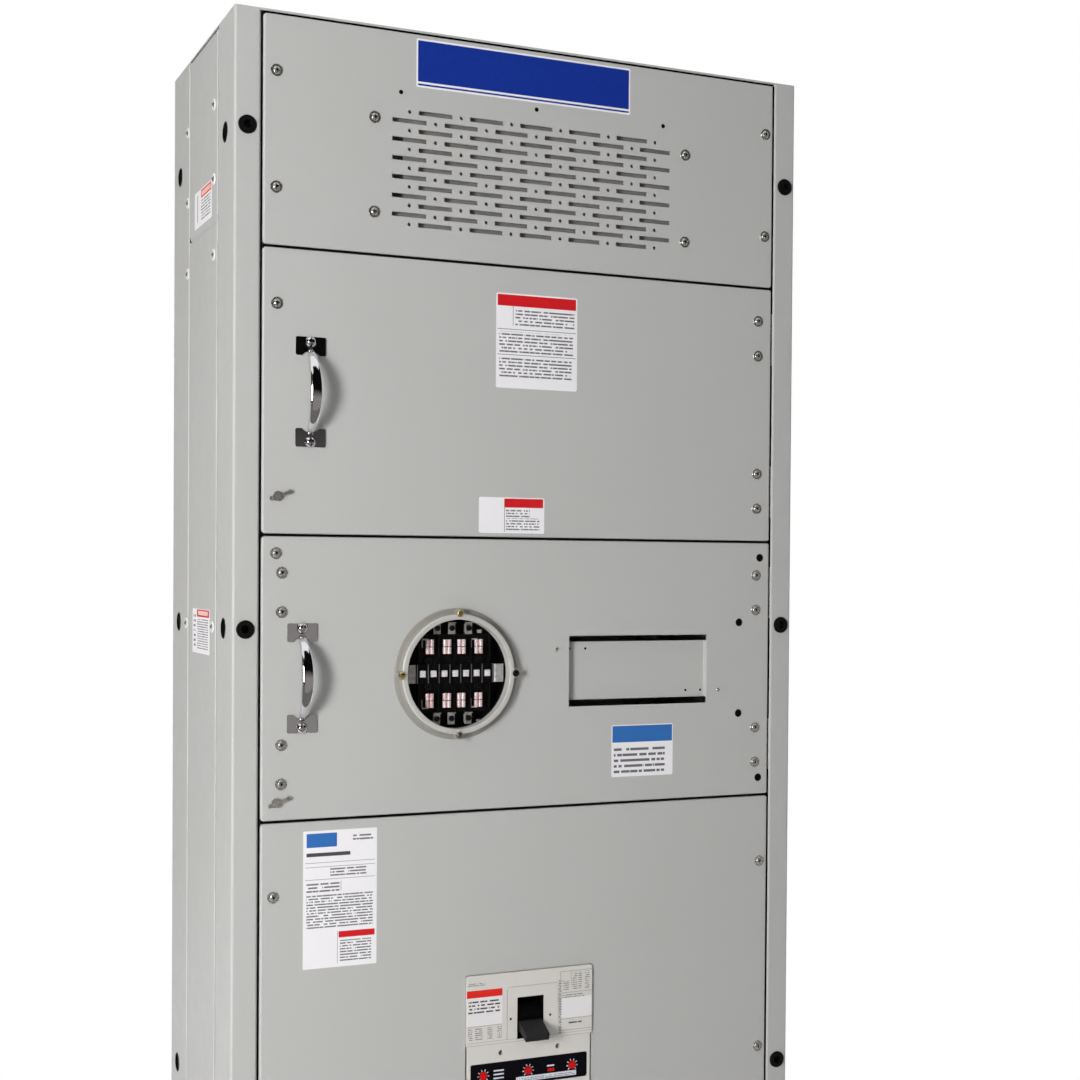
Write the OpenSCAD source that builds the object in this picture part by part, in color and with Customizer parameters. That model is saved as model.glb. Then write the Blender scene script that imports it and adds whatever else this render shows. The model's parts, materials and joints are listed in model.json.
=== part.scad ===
// Metered service-entrance switchboard section: a free-standing steel cabinet with a vented pull
// section, a hinged utility door, a hinged meter door and a main moulded-case circuit breaker.
// Millimetres. Origin: centre of the base, on the floor. Front faces -Y, +Z is up.

/* [Cabinet] */
// Width over the corner posts
cabinet_w = 914.4; // [860:1:1100]
// Depth from the panel faces to the rear covers
cabinet_d = 406.4; // [380:1:620]
// Height over the roof plate
cabinet_h = 2286; // [2240:1:2360]
// Thickness of the formed frame sheet
post_t = 2.7; // [2:0.1:3.2]
// Outer bend radius of formed sheet
bend_r = 4; // [3.6:0.1:5]
// Width of a post's front and rear face
post_face = 38.1; // [36:0.5:44]
// Depth of a front post's side face
post_side_front = 97; // [92:1:110]
// Depth of a rear post's side face
post_side_rear = 116.4; // [105:1:125]
// Thickness of the roof plate
roof_t = 3.2; // [2.5:0.1:4]
// Width of the roof's cable entry
roof_entry_w = 300; // [260:1:420]
// Depth of the roof's cable entry
roof_entry_d = 110; // [90:1:120]
// Height of the removable upper side covers
side_cover_h = 282; // [250:1:320]
// Height of the base channels
base_h = 38.1; // [35:0.5:60]
// Depth of a base channel's flanges
base_flange = 60; // [55:1:75]
// Floor anchor hole diameter
anchor_d = 14.3; // [11:0.1:18]
// Anchor holes, inset from the cabinet's sides
anchor_inset_x = 76.2; // [70:1:110]
// Anchor holes, inset from the cabinet's front and rear
anchor_inset_y = 35; // [30:1:45]

/* [Front panels] */
// Height of the vented top module
vent_module = 330.2; // [318:0.1:345]
// Height of the utility door module
utility_module = 406.4; // [395:0.1:430]
// Height of the meter door module
meter_module = 406.4; // [395:0.1:430]
// Height of the breaker panel module
breaker_module = 812.8; // [790:0.1:830]
// Height of the bottom module
bottom_module = 330.2; // [318:0.1:345]
// Thickness of the front panels and doors
door_t = 2.3; // [1.9:0.1:2.6]
// Radius of a panel's corners seen from the front
door_corner_r = 6; // [4.5:0.5:9]
// Gap at a panel's left edge
gap_left = 3.4; // [2:0.1:5]
// Gap at a panel's right edge
gap_right = 2.6; // [2.2:0.1:3.5]
// Gap between one panel and the next
seam_gap = 3.5; // [2:0.1:5]
// Gap between the top panel and the roof plate
top_gap = 2.4; // [1.5:0.1:4]
// How far behind the front the frame's strike flange stands
strike_back = 20.5; // [20.2:0.1:24]
// Width of the strike flange beside the post face
strike_w = 40; // [36:0.5:44]
// Diameter of a panel screw's head
screw_head_d = 12.5; // [10:0.1:14]
// Diameter of a panel screw's shank
screw_d = 6; // [5:0.1:7]
// Panel screws, from the panel's left edge
screw_inset_left = 18.5; // [14:0.5:24]
// Panel screws, from the panel's right edge
screw_inset_right = 14.2; // [12:0.1:20]

/* [Vent] */
// Length of a vent slot
slot_l = 53; // [44:0.5:58]
// Height of a vent slot
slot_h = 6.5; // [4:0.1:8]
// Diameter of a vent dot
dot_d = 5.5; // [3:0.1:7]
// Slot columns of a long row
vent_columns = 6; // [3:1:7]
// Rows of slots
vent_rows = 13; // [5:2:15]
// Column pitch
vent_pitch_x = 80.54; // [74:0.1:90]
// Row pitch
vent_pitch_z = 13.57; // [12:0.1:15]
// Top row, below the panel's top edge
vent_drop = 114; // [100:1:125]
// How far behind the panel the baffle plate stands
baffle_back = 10; // [6:0.5:14]
// How much of the slots' left end the baffle plate leaves open
baffle_open_end = 20; // [14:0.5:28]
// How far the baffle plate reaches past the slots at its other edges
baffle_over = 8; // [6:0.5:9]

/* [Hinges] */
// Hinge axis, beyond the post's edge
pivot_in = 11.4; // [11:0.1:12.2]
// Hinge axis, behind the front face
pivot_back = 8; // [7.8:0.1:9]
// Hinge pin diameter
pin_d = 5; // [4:0.1:5.4]
// Running clearance on the hinge pin, all round
pin_clearance = 0.05; // [0.02:0.01:0.1]
// Height of a hinge arm
arm_h = 76; // [70:1:90]
// Hinges, above and below the door's middle
hinge_offset = 122; // [110:1:130]
// Distance between a hinge's two screws
hinge_screw_pitch = 55.5; // [45:0.5:58]

/* [Handles and latches] */
// Distance between a handle's two screws
handle_pitch = 142; // [130:1:160]
// Width of the handle's bow at its middle
bow_w = 17; // [13:0.5:20]
// Thickness of the handle's bow
bow_t = 8; // [6:0.5:10]
// How far the bow stands off the door
bow_reach = 38; // [32:1:50]
// Width of a handle bracket
bracket_w = 44; // [36:1:48]
// Utility handle, from the door's left edge
utility_handle_in = 69.3; // [64:0.5:90]
// Meter handle, from the door's left edge
meter_handle_in = 59; // [56:0.5:80]
// Latch studs, from the door's left edge
latch_in = 22.5; // [20:0.5:28]

/* [Meter socket] */
// Clear diameter inside the meter ring
ring_bore_d = 161; // [150:0.5:166]
// Outside diameter of the meter ring's flange
ring_d = 194; // [190:0.5:205]
// How far the ring stands off the door
ring_reach = 15; // [12:0.5:20]
// Circle of the ring's screws
ring_screw_circle = 179; // [177:0.5:184]
// Meter axis, from the door's left edge
meter_in = 293.7; // [270:0.5:320]
// Meter axis, above the door's middle
meter_up = 1.9; // [-10:0.1:10]
// Depth of the socket's housing behind the door
socket_depth = 60; // [54:1:75]
// Inner jaws, from the meter axis
jaw_inner = 11.4; // [10.5:0.1:12.5]
// Outer jaws, from the meter axis
jaw_outer = 38.8; // [37:0.1:42]
// Jaw rows, above and below the axis
jaw_z = 39.8; // [36:0.1:44]
// Pitch of the middle row of terminals
terminal_pitch = 17.05; // [15:0.05:17.5]

/* [Test switch window] */
// Width of the test switch window
window_w = 240.4; // [220:0.1:250]
// Height of the test switch window
window_h = 108; // [100:0.5:115]
// Window's middle, from the door's right edge
window_in = 234.2; // [225:0.5:245]
// Height of the blanking plate behind the window
plate_h = 89; // [80:0.5:95]
// Length of a blanking plate's fixing tab
plate_tab = 32; // [28:0.5:40]

/* [Main breaker] */
// Width of the breaker
breaker_w = 206; // [190:0.5:225]
// Height of the breaker
breaker_h = 273; // [260:0.5:290]
// Depth of the breaker from its face to its mounting plate
breaker_depth = 103.2; // [98:0.5:115]
// How far the breaker's face stands in front of the panel
breaker_proud = 4; // [3:0.5:8]
// Top of the breaker, below the top of its panel module
breaker_drop = 246; // [235:0.5:260]
// Distance between two poles
pole_pitch = 69; // [62:0.5:70]
// Height of the cover's upper field, above the step
upper_field_h = 105; // [98:0.5:112]
// Width of the toggle's opening
toggle_slot_w = 43.5; // [40:0.5:48]
// Height of the toggle's opening
toggle_slot_h = 63; // [58:0.5:66]
// Middle of the toggle's opening, below the breaker's top
toggle_drop = 70; // [66:0.5:72]
// Toggle axis, behind the breaker's face
toggle_axis_back = 35; // [33:0.5:38]
// Toggle angle above and below the level, on and off
toggle_swing = 20.5; // [16:0.5:22]
// Length of the toggle from its axis
toggle_l = 68; // [62:1:74]
// Width of the toggle's lever
toggle_w = 38; // [34:0.5:39]
// Diameter of a trip dial
dial_d = 12; // [9:0.5:14]
// Trip dials, below the breaker's top
dial_drop = 151.5; // [149:0.5:156]
// Distance between two trip dials
dial_pitch = 73.2; // [66:0.1:76]

/* [Bus bars] */
// Width of a phase bus bar
bus_w = 50.8; // [44:0.1:56]
// Thickness of a phase bus bar
bus_t = 6.35; // [5:0.05:8]
// How far behind the front the vertical bus stands
bus_back = 150; // [145:1:165]
// Height of a bus insulator
insulator_l = 40; // [30:1:50]
// Diameter of a bus insulator
insulator_d = 34; // [28:1:40]
// Length of a removable current transformer link
link_l = 210; // [190:1:240]
// Reach of the line bus above the pull section's floor
line_bus_reach = 165; // [150:1:185]
// Length of the ground bus
ground_bus_l = 500; // [420:10:600]
// Height of the ground bus
ground_bus_h = 50; // [44:1:60]
// Width of the neutral bus
neutral_bus_w = 76; // [66:1:80]

/* [Joining holes] */
// Diameter of the side joining holes in the posts
side_hole_d = 25.4; // [20:0.1:28]
// Diameter of the front joining holes, which hold the bushings
joint_hole_d = 22; // [18:0.5:24]
// Side joining holes, from the front and the rear
joint_hole_in = 54; // [50:0.5:60]
// Front joining holes, from the cabinet's side
bushing_in = 18.5; // [17:0.1:20]
// Height of the lowest joining holes
joint_low = 711.2; // [690:0.1:730]
// Distance between two joining holes, one above the other
joint_pitch = 704.9; // [690:0.1:715]

/* [Hidden] */
$fn = 48;

grey = [0.70, 0.70, 0.69];
zinc = [0.78, 0.78, 0.76];
chrome = [0.86, 0.86, 0.87];
black = [0.05, 0.05, 0.055];
copper = [0.78, 0.49, 0.35];
tin = [0.80, 0.79, 0.76];
cream = [0.83, 0.82, 0.79];
red = [0.75, 0.04, 0.04];

eps = 0.01;
fit_gap = 0.3;              // seat clearance between pieces that don't run on each other
hole_clearance = 0.3;       // radial, round a fixed screw
swing_clearance = 1;        // radial, round a stud that a swinging door draws out
front_y = -cabinet_d / 2;
rear_y = cabinet_d / 2;
left_x = -cabinet_w / 2;
right_x = cabinet_w / 2;
wall_in = post_t;           // from the outside of a wall to its inner face
door_depth = strike_back - fit_gap;
frame_top = cabinet_h - roof_t;

// The modules share out the cabinet's height between them
stack = cabinet_h / (vent_module + utility_module + meter_module + breaker_module + bottom_module);

// Seams between the front panels, from the top down, then the panels' own edges
seam_z = [cabinet_h - vent_module * stack, cabinet_h - (vent_module + utility_module) * stack,
    (breaker_module + bottom_module) * stack, bottom_module * stack];
panel_left = left_x + post_face + gap_left;
panel_right = right_x - post_face - gap_right;
panel_w = panel_right - panel_left;
vent_z = [seam_z[0] + seam_gap / 2, frame_top - top_gap];
utility_z = [seam_z[1] + seam_gap / 2, seam_z[0] - seam_gap / 2];
meter_z = [seam_z[2] + seam_gap / 2, seam_z[1] - seam_gap / 2];
breaker_z = [seam_z[3] + seam_gap / 2, seam_z[2] - seam_gap / 2];
bottom_z = [base_h + seam_gap, seam_z[3] - seam_gap / 2];
function middle(span) = (span[0] + span[1]) / 2;
function height(span) = span[1] - span[0];

strike_y = front_y + strike_back;       // front face of the strike flange
rail_y = strike_y + post_t;             // front face of the cross rails
rail_h = 42;
rail_d = 30;
rail_centres = concat(seam_z, [frame_top - rail_h / 2]);

// Screw rows of the front
vent_screw_z = [vent_z[1] - 79, vent_z[0] + 81];
breaker_screw_z = [for (i = [0:2]) seam_z[2] - 106.5 - i * (height(breaker_z) / 2 - 105.15)];
bottom_screw_z = [middle(bottom_z) + 80, middle(bottom_z) - 80];
fixed_screw_z = concat(vent_screw_z, breaker_screw_z, bottom_screw_z);

// Vent field
vent_x = 2;                             // middle of the slot field
vent_top = vent_z[1] - vent_drop;
baffle_screw_x = vent_pitch_x * vent_columns / 2 + 12.9;
baffle_screw_z = [vent_top - vent_pitch_z, vent_top - (vent_rows - 2) * vent_pitch_z];

// Posts
post_side_return = 24;
post_foot = base_h + 6;                 // returns and strike flanges stop above the base

// Rear covers
rear_screw_x = cabinet_w / 2 - post_face - gap_left - 18;
rear_seam = seam_z[2];
rear_cover_z = [[base_h + seam_gap, rear_seam - seam_gap / 2],
    [rear_seam + seam_gap / 2, frame_top - top_gap]];
rear_screw_z = [for (c = rear_cover_z) for (k = [90, height(c) / 2, height(c) - 90]) c[0] + k];

// Side frame: rails between the front and rear posts
side_rail_h = 40;
side_rail_w = 25;
side_rail_y = [front_y + post_side_front, rear_y - post_side_rear + 40];
side_panel_y = [front_y + post_side_front, rear_y - post_side_rear];
panel_slit = 0.8;                       // slit at the side panels' edges
side_cover_z = cabinet_h - side_cover_h;    // bottom of the removable upper side cover
lip_h = 10;                             // its slanted lower lip
lip_in = 4.5;
bay_in = right_x - wall_in - side_rail_w;   // inner face of the side rails
pan_z = [seam_z[2] - breaker_drop - breaker_h - 34, seam_z[2] - breaker_drop + 33];
bus_rail_z = [seam_z[0] + 2.7, seam_z[1] - 133.7];
pan_rail_z = [pan_z[0] + 50, pan_z[1] - 50];
side_screw_z = concat([cabinet_h - 109, cabinet_h - 217.5], bus_rail_z,
    [pan_rail_z[0], post_foot + side_rail_h / 2]);
side_rail_z = concat(side_screw_z, [pan_rail_z[1]]);
side_screw_front = front_y + post_side_front + 24.5;
side_screw_rear = rear_y - post_side_rear + 9;
neutral_y = side_rail_y[1] - 60;

joint_z = [for (i = [0:2]) (joint_low + i * joint_pitch) * stack];
joint_hole_rear = joint_hole_in - 6;

// Hinges
pivot_x = right_x - post_face + pivot_in;
pivot_y = front_y + pivot_back;
door_to_pivot = pivot_x - panel_right;
arm_t = 3;
arm_in = door_to_pivot + 1.2;           // inner radius of the arm's gooseneck
arm_out = arm_in + arm_t;
barrel_r = 4.8;
ear_t = 3;
ear_gap = 0.3;
arm_leaf = 50;                          // from the hinge axis to the end of the arm's leaf
arm_start = 60;                         // where the gooseneck starts, round the hinge axis
hinge_screw_x = panel_right - 24.7;
function hinge_z(span) = [for (s = [-1, 1]) middle(span) + s * hinge_offset];
function hinge_screws(span) =
    [for (z = hinge_z(span)) for (s = [-0.5, 0.5]) z + s * hinge_screw_pitch];

// Door fittings
utility_handle_x = panel_left + utility_handle_in;
meter_handle_x = panel_left + meter_handle_in;
latch_x = panel_left + latch_in;
captive_x = panel_left + 20.5;
utility_captive_z = middle(utility_z) + 123;
utility_latch_z = middle(utility_z) - 148.5;
meter_captive_z = meter_z[1] - 24.15;
meter_latch_z = meter_z[0] + 25.45;
captive_z = [utility_captive_z, meter_captive_z];
latch_z = [utility_latch_z, meter_latch_z];
bow_span = handle_pitch - 28;
bow_rise = bow_reach - bow_t / 2 - 3;
bow_r = (bow_span * bow_span / 4 + bow_rise * bow_rise) / (2 * bow_rise);
bow_foot_w = bow_w / 2;
bow_crown_r = bow_w * 0.75;
bow_taper_r = bow_span * bow_span / 4 / (bow_w - bow_foot_w);
bracket_out = 7;                        // bracket, beyond its screw
bracket_h = 26.3;
bracket_t = 1.9;
latch_r = 3;

// Meter axis and window
meter_x = panel_left + meter_in;
meter_zc = middle(meter_z) + meter_up;
window_x = panel_right - window_in;
reverse_holes = [[panel_right - 17.9, height(meter_z) / 2 - 23.55], [panel_right - 55.4, 74.5],
    [panel_right - 55.4, -70.4], [panel_right - 17.9, 26.45 - height(meter_z) / 2]];
reverse_screw_x = panel_left + 29.2;
reverse_hole_d = 7.6;
ring_bore_r = ring_bore_d / 2;
ring_r = ring_d / 2;
ring_boss = 0.8;
jaw_x = [jaw_inner, jaw_outer];
jaw_y = 5.2;                            // the jaws' rolled fronts stay 1.5 mm behind the door's skin
jaw_block_y = 15;                       // front of the blocks that carry the jaws
cup_wall = 3;
cup_floor = 30;                         // floor of the socket, behind the door's face
plate_screw_x = 141.2;
plate_screw_z = 34.1;

// Breaker
breaker_top = seam_z[2] - breaker_drop;
breaker_bottom = breaker_top - breaker_h;
breaker_face = front_y - breaker_proud;
breaker_back = breaker_face + breaker_depth;
cover_d = 24;                           // depth of the breaker's front cover
cover_back = breaker_face + cover_d;
toggle_z = breaker_top - toggle_drop;
toggle_y = breaker_face + toggle_axis_back;
drum_r = toggle_axis_back - 4;          // the toggle's curved shutter
drum_t = 3;
drum_sweep = 62;
trunnion_r = 3;
drum_w = toggle_slot_w + 4;
cavity_r = drum_r + 1;
trip_top = breaker_top - 133.5;         // trip unit's cover
trip_w = 192;
trip_h = 38;
dial_z = breaker_top - dial_drop;
dial_x = [for (i = [-1:1]) i * dial_pitch - 2.1];
button_x = dial_x[1] + 37.6;
button_z = dial_z - 3.1;
button_size = [10.5, 4.6];
dial_shaft_d = 5;
pole_x = [for (i = [-1:1]) i * pole_pitch];
pocket_d = 26;                          // terminal pockets in the case's top and bottom
pocket_h = 34;
pocket_y = breaker_face + 70;
pan_t = 2.7;
pan_half = breaker_w / 2 + 60;
breaker_bolts = [for (x = [-1, 1], z = [breaker_bottom + 18, breaker_top - 18])
    [x * pole_pitch / 2, z]];
bolt_seat = cover_back + 7;
cover_screw_x = 47;
cover_screw_z = breaker_top - 120;

// Bus
bus_y = front_y + bus_back;
bus_rail_y = bus_y + bus_t + insulator_l;
link_mid = middle(utility_z);
link_lap = 60;
tab_y = pocket_y + 8;
bus_low = breaker_top + 60;             // where the phase bars turn forward to the breaker
lug_d = 34;                             // depth of a line lug
lug_y = bus_y - lug_d / 2;              // axis of its cable bores, under the roof's cable entry

// 2D: a rectangle whose two front corners (low y) are round
module front_rounded(w, d, r) {
    translate([0, r]) square([w, d - r]);
    translate([r, 0]) square([w - 2 * r, d]);
    for (x = [r, w - r]) translate([x, r]) circle(r);
}

// 2D: a rectangle with four round corners
module rounded(w, h, r) {
    translate([0, r]) square([w, h - 2 * r]);
    translate([r, 0]) square([w - 2 * r, h]);
    for (x = [r, w - r], y = [r, h - r]) translate([x, y]) circle(r);
}

// 2D: sheet of thickness t bent square along a path of its middle line, with middle radius r
module bent_sheet(path, t, r) {
    last = len(path) - 1;
    for (i = [0:last - 1]) {
        a = path[i];
        b = path[i + 1];
        d = (b - a) / norm(b - a);
        start = i == 0 ? a : a + d * r;
        stop = i == last - 1 ? b : b - d * r;
        translate(start) rotate(atan2(d.y, d.x))
            translate([0, -t / 2]) square([norm(stop - start), t]);
    }
    for (i = [1:last - 1]) {
        d1 = (path[i] - path[i - 1]) / norm(path[i] - path[i - 1]);
        d2 = (path[i + 1] - path[i]) / norm(path[i + 1] - path[i]);
        v = (r + t) * (d1 - d2);
        translate(path[i] - d1 * r + d2 * r) intersection() {
            difference() {
                circle(r + t / 2);
                circle(r - t / 2);
            }
            translate([min(0, v.x), min(0, v.y)]) square([abs(v.x), abs(v.y)]);
        }
    }
}

// A block w x d x h whose front edges and front corners are rounded, front face at y = 0
module eased_block(w, h, d, edge, corner) {
    intersection() {
        linear_extrude(h) front_rounded(w, d, edge);
        rotate([90, 0, 90]) linear_extrude(w) mirror([1, -1]) front_rounded(h, d, edge);
        translate([0, d, 0]) rotate([90, 0, 0]) linear_extrude(d) rounded(w, h, corner);
    }
}

// A formed steel pan: front skin at y = 0 with four returns going back
module pan(w, h) {
    difference() {
        eased_block(w, h, door_depth, bend_r - 1, door_corner_r);
        translate([door_t, door_t, door_t])
            eased_block(w - 2 * door_t, h - 2 * door_t, door_depth, 0.7, door_corner_r - door_t);
    }
}

// A hole along y through sheet at the front, from its centre on the front face
module front_hole(x, z, d, depth = 10) {
    translate([x, front_y - eps, z]) rotate([-90, 0, 0]) cylinder(h = depth, d = d);
}

// Domed slotted screw: seat at y = 0, head towards -y, shank towards +y
module slotted_screw(head_d, head_h, shank_d, shank_l, slot = 1.4) {
    dome_r = (head_d * head_d / 4 + head_h * head_h) / (2 * head_h);
    difference() {
        rotate([90, 0, 0]) intersection() {
            cylinder(h = head_h, d = head_d);
            translate([0, 0, head_h - dome_r]) sphere(dome_r, $fn = 64);
        }
        translate([-slot / 2, -head_h - eps, -head_d / 2]) cube([slot, head_h * 0.5, head_d]);
    }
    rotate([-90, 0, 0]) cylinder(h = shank_l, d = shank_d, $fn = 24);
}

module front_screw(x, z, shank_l) {
    translate([x, front_y, z]) slotted_screw(screw_head_d, 3.6, screw_d, shank_l);
}

// ---- Frame ----

// Plan section of a post in its own corner: outside corner at the origin, face along +x,
// side along +y. The inner run is the strike flange that panels and covers close against.
module post_section(side, inner_return, strike) {
    h = post_t / 2;
    back = inner_return ? [[post_side_return, side - h], [h, side - h], [h, h]]
        : [[h, side], [h, h]];
    face = strike ? [[post_face - h, h], [post_face - h, strike_back + h],
        [post_face + strike_w, strike_back + h]] : [[post_face, h]];
    bent_sheet(concat(back, face), post_t, bend_r - h);
}

module post(side, is_front) {
    difference() {
        union() {
            translate([0, 0, post_foot]) linear_extrude(frame_top - post_foot)
                post_section(side, is_front, true);
            linear_extrude(post_foot) post_section(side, false, false);
        }
        for (z = joint_z) {
            translate([-1, is_front ? joint_hole_in : joint_hole_rear, z]) rotate([0, 90, 0])
                cylinder(h = 10, d = side_hole_d);
            if (is_front) translate([bushing_in, -1, z]) rotate([-90, 0, 0])
                cylinder(h = 10, d = joint_hole_d);
        }
    }
}

// Clearance holes in the strike flanges for the screws and studs of one side
module strike_holes(x, points, clearance) {
    for (z = points) front_hole(x, z, screw_d + 2 * clearance, strike_back + post_t + 10);
}
module post_front_left() {
    color(grey) difference() {
        translate([left_x, front_y, 0]) post(post_side_front, true);
        strike_holes(panel_left + screw_inset_left, fixed_screw_z, hole_clearance);
        strike_holes(captive_x, captive_z, swing_clearance);
        strike_holes(latch_x, latch_z, swing_clearance);
    }
}

module post_front_right() {
    notch_h = arm_h + 16;
    color(grey) difference() {
        translate([right_x, front_y, 0]) mirror([1, 0, 0]) post(post_side_front, true);
        strike_holes(panel_right - screw_inset_right, fixed_screw_z, hole_clearance);
        // gooseneck notches
        for (z = concat(hinge_z(utility_z), hinge_z(meter_z)))
            translate([right_x - post_face - 12, front_y + post_t, z - notch_h / 2])
                cube([post_face + 12 - post_t, strike_back + 10, notch_h]);
    }
}

module post_rear(mirrored) {
    translate([mirrored ? right_x : left_x, rear_y, 0]) mirror([mirrored ? 1 : 0, 0, 0])
        mirror([0, 1, 0]) post(post_side_rear, false);
}

module rear_screw_holes() {
    for (x = [-rear_screw_x, rear_screw_x], z = rear_screw_z)
        translate([x, rear_y + 1, z]) rotate([90, 0, 0])
            cylinder(h = strike_back + 10, d = screw_d + 2 * hole_clearance);
}

module side_screw_holes(side) {
    for (z = side_screw_z, y = [side_screw_front, side_screw_rear])
        translate([side * (right_x + 1), y, z]) rotate([0, -side * 90, 0])
            cylinder(h = wall_in + 12, d = screw_d - 1 + 2 * hole_clearance);
}

module post_rear_left() {
    color(grey) difference() {
        post_rear(false);
        rear_screw_holes();
        side_screw_holes(-1);
    }
}

module post_rear_right() {
    color(grey) difference() {
        post_rear(true);
        rear_screw_holes();
        side_screw_holes(1);
    }
}

module roof_plate() {
    flange = 30;
    inset = strike_back + post_t + rail_d + 1;
    color(grey) {
        translate([left_x, front_y, frame_top]) difference() {
            linear_extrude(roof_t) rounded(cabinet_w, cabinet_d, bend_r);
            // knock the sharp upper edge off all round
            for (e = [0, 1]) {
                translate([e * cabinet_w, -1, roof_t]) rotate([-90, 0, 0])
                    cylinder(h = cabinet_d + 2, r = 1, $fn = 4);
                translate([-1, e * cabinet_d, roof_t]) rotate([0, 90, 0])
                    cylinder(h = cabinet_w + 2, r = 1, $fn = 4);
            }
            // cable entry over the line lugs
            translate([(cabinet_w - roof_entry_w) / 2, lug_y - front_y - roof_entry_d / 2, -1])
                linear_extrude(roof_t + 2) rounded(roof_entry_w, roof_entry_d, 12);
        }
        // stiffening flanges under the plate, inside the frame
        for (y = [front_y + inset, rear_y - inset - post_t])
            translate([-bay_in + 1, y, frame_top - flange])
                cube([2 * bay_in - 2, post_t, flange]);
    }
}

module base_channels() {
    width = cabinet_w - 2 * (wall_in + bend_r - post_t + 0.1);     // clear of the posts' inner bends
    h = post_t / 2;
    side_len = cabinet_d - 2 * (wall_in + base_flange - 1);    // lapped 1 mm into the cross channels
    section = [[base_flange, h], [h, h], [h, base_h - h], [base_flange, base_h - h]];
    color(grey) {
        for (m = [0, 1]) mirror([0, m, 0]) difference() {
            translate([-width / 2, front_y + wall_in, 0]) rotate([90, 0, 90])
                linear_extrude(width) bent_sheet(section, post_t, bend_r - h);
            for (x = [-1, 1]) translate([x * (right_x - anchor_inset_x),
                front_y + anchor_inset_y, -1]) cylinder(h = base_h + 2, d = anchor_d);
        }
        for (m = [0, 1]) mirror([m, 0, 0])
            translate([left_x + wall_in, side_len / 2, 0]) rotate([90, 0, 0])
                linear_extrude(side_len) bent_sheet([[40, h], [h, h], [h, base_h - h],
                    [40, base_h - h]], post_t, bend_r - h);
    }
}

// Channel along x, web at the front, flanges going back
module cross_channel(length, h, d) {
    t = post_t / 2;
    translate([-length / 2, 0, 0]) rotate([90, 0, 90]) linear_extrude(length)
        bent_sheet([[d, -h / 2 + t], [t, -h / 2 + t], [t, h / 2 - t], [d, h / 2 - t]],
            post_t, bend_r - t);
}

module front_rails() {
    length = 2 * bay_in;
    color(grey) for (z = rail_centres) translate([0, rail_y, z])
        cross_channel(length, rail_h, rail_d);
}

module side_rails() {
    length = side_rail_y[1] - side_rail_y[0];
    t = post_t / 2;
    color(grey) for (m = [0, 1]) mirror([m, 0, 0]) difference() {
        for (z = side_rail_z) translate([left_x + wall_in, side_rail_y[1], z])
            rotate([90, 0, 0]) linear_extrude(length)
                bent_sheet([[side_rail_w, -side_rail_h / 2 + t], [t, -side_rail_h / 2 + t],
                    [t, side_rail_h / 2 - t], [side_rail_w, side_rail_h / 2 - t]],
                    post_t, bend_r - t);
        side_screw_holes(-1);
    }
}

module bus_rails() {
    color(grey) {
        for (z = bus_rail_z) translate([0, bus_rail_y, z])
            cross_channel(2 * bay_in, side_rail_h, rail_d);
        difference() {
            for (z = pan_rail_z) translate([0, breaker_back + pan_t, z])
                cross_channel(2 * bay_in, side_rail_h, rail_d);
            breaker_bolt_holes();
        }
    }
}

// ---- Covers and fixed panels ----

module side_sheet(side, z0, z1) {
    y0 = side_panel_y[0] + panel_slit;
    y1 = side_panel_y[1] - panel_slit;
    translate([side < 0 ? left_x : right_x - post_t, y0, z0]) cube([post_t, y1 - y0, z1 - z0]);
}

module side_panel(side) {
    color(grey) difference() {
        side_sheet(side, base_h + 6, side_cover_z - 1.2);
        side_screw_holes(side);
    }
}
module side_panel_left() { side_panel(-1); }
module side_panel_right() { side_panel(1); }

// Removable upper cover with a slanted lip along its lower edge
module side_cover(side) {
    y0 = side_panel_y[0] + panel_slit;
    y1 = side_panel_y[1] - panel_slit;
    top = frame_top - 4;
    color(grey) mirror([side > 0 ? 1 : 0, 0, 0]) difference() {
        translate([left_x, y1, 0]) rotate([90, 0, 0]) linear_extrude(y1 - y0)
            polygon([[0, side_cover_z + lip_h], [lip_in, side_cover_z],
                [lip_in + post_t, side_cover_z], [post_t, side_cover_z + lip_h],
                [post_t, top], [0, top]]);
        side_screw_holes(-1);
    }
}
module side_cover_left() { side_cover(-1); }
module side_cover_right() { side_cover(1); }

module rear_covers() {
    w = cabinet_w - 2 * (post_face + gap_left);
    color(grey) difference() {
        for (c = rear_cover_z) translate([w / 2, rear_y, c[0]]) rotate([0, 0, 180])
            pan(w, height(c));
        rear_screw_holes();
    }
}

module front_pan(span) {
    translate([panel_left, front_y, span[0]]) pan(panel_w, height(span));
}

module panel_holes(points) {
    for (z = points, x = [panel_left + screw_inset_left, panel_right - screw_inset_right])
        front_hole(x, z, screw_d + 2 * hole_clearance);
}

function vent_row_x(row, i, n) = vent_x + (i - (n - 1) / 2) * vent_pitch_x;

// Staggered field of slots with dots between them
module vent_field(depth) {
    for (row = [0:vent_rows - 1]) translate([0, front_y - 1, vent_top - row * vent_pitch_z]) {
        slots = row % 2 == 0 ? vent_columns - 1 : vent_columns;
        dots = row % 2 == 0 ? vent_columns : vent_columns - 1;
        for (i = [0:slots - 1]) translate([vent_row_x(row, i, slots) - slot_l / 2, 0, -slot_h / 2])
            cube([slot_l, depth, slot_h]);
        for (i = [0:dots - 1]) translate([vent_row_x(row, i, dots), 0, 0]) rotate([-90, 0, 0])
            cylinder(h = depth, d = dot_d, $fn = 16);
    }
}

module vent_panel() {
    color(grey) difference() {
        front_pan(vent_z);
        panel_holes(vent_screw_z);
        vent_field(6);
        for (x = [-215, 0, 215])
            front_hole(vent_x + x, vent_top + 2 * vent_pitch_z, 4.5);
        for (x = [-1, 1], z = baffle_screw_z) front_hole(vent_x + x * baffle_screw_x, z,
            screw_d + 2 * hole_clearance);
    }
}

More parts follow.
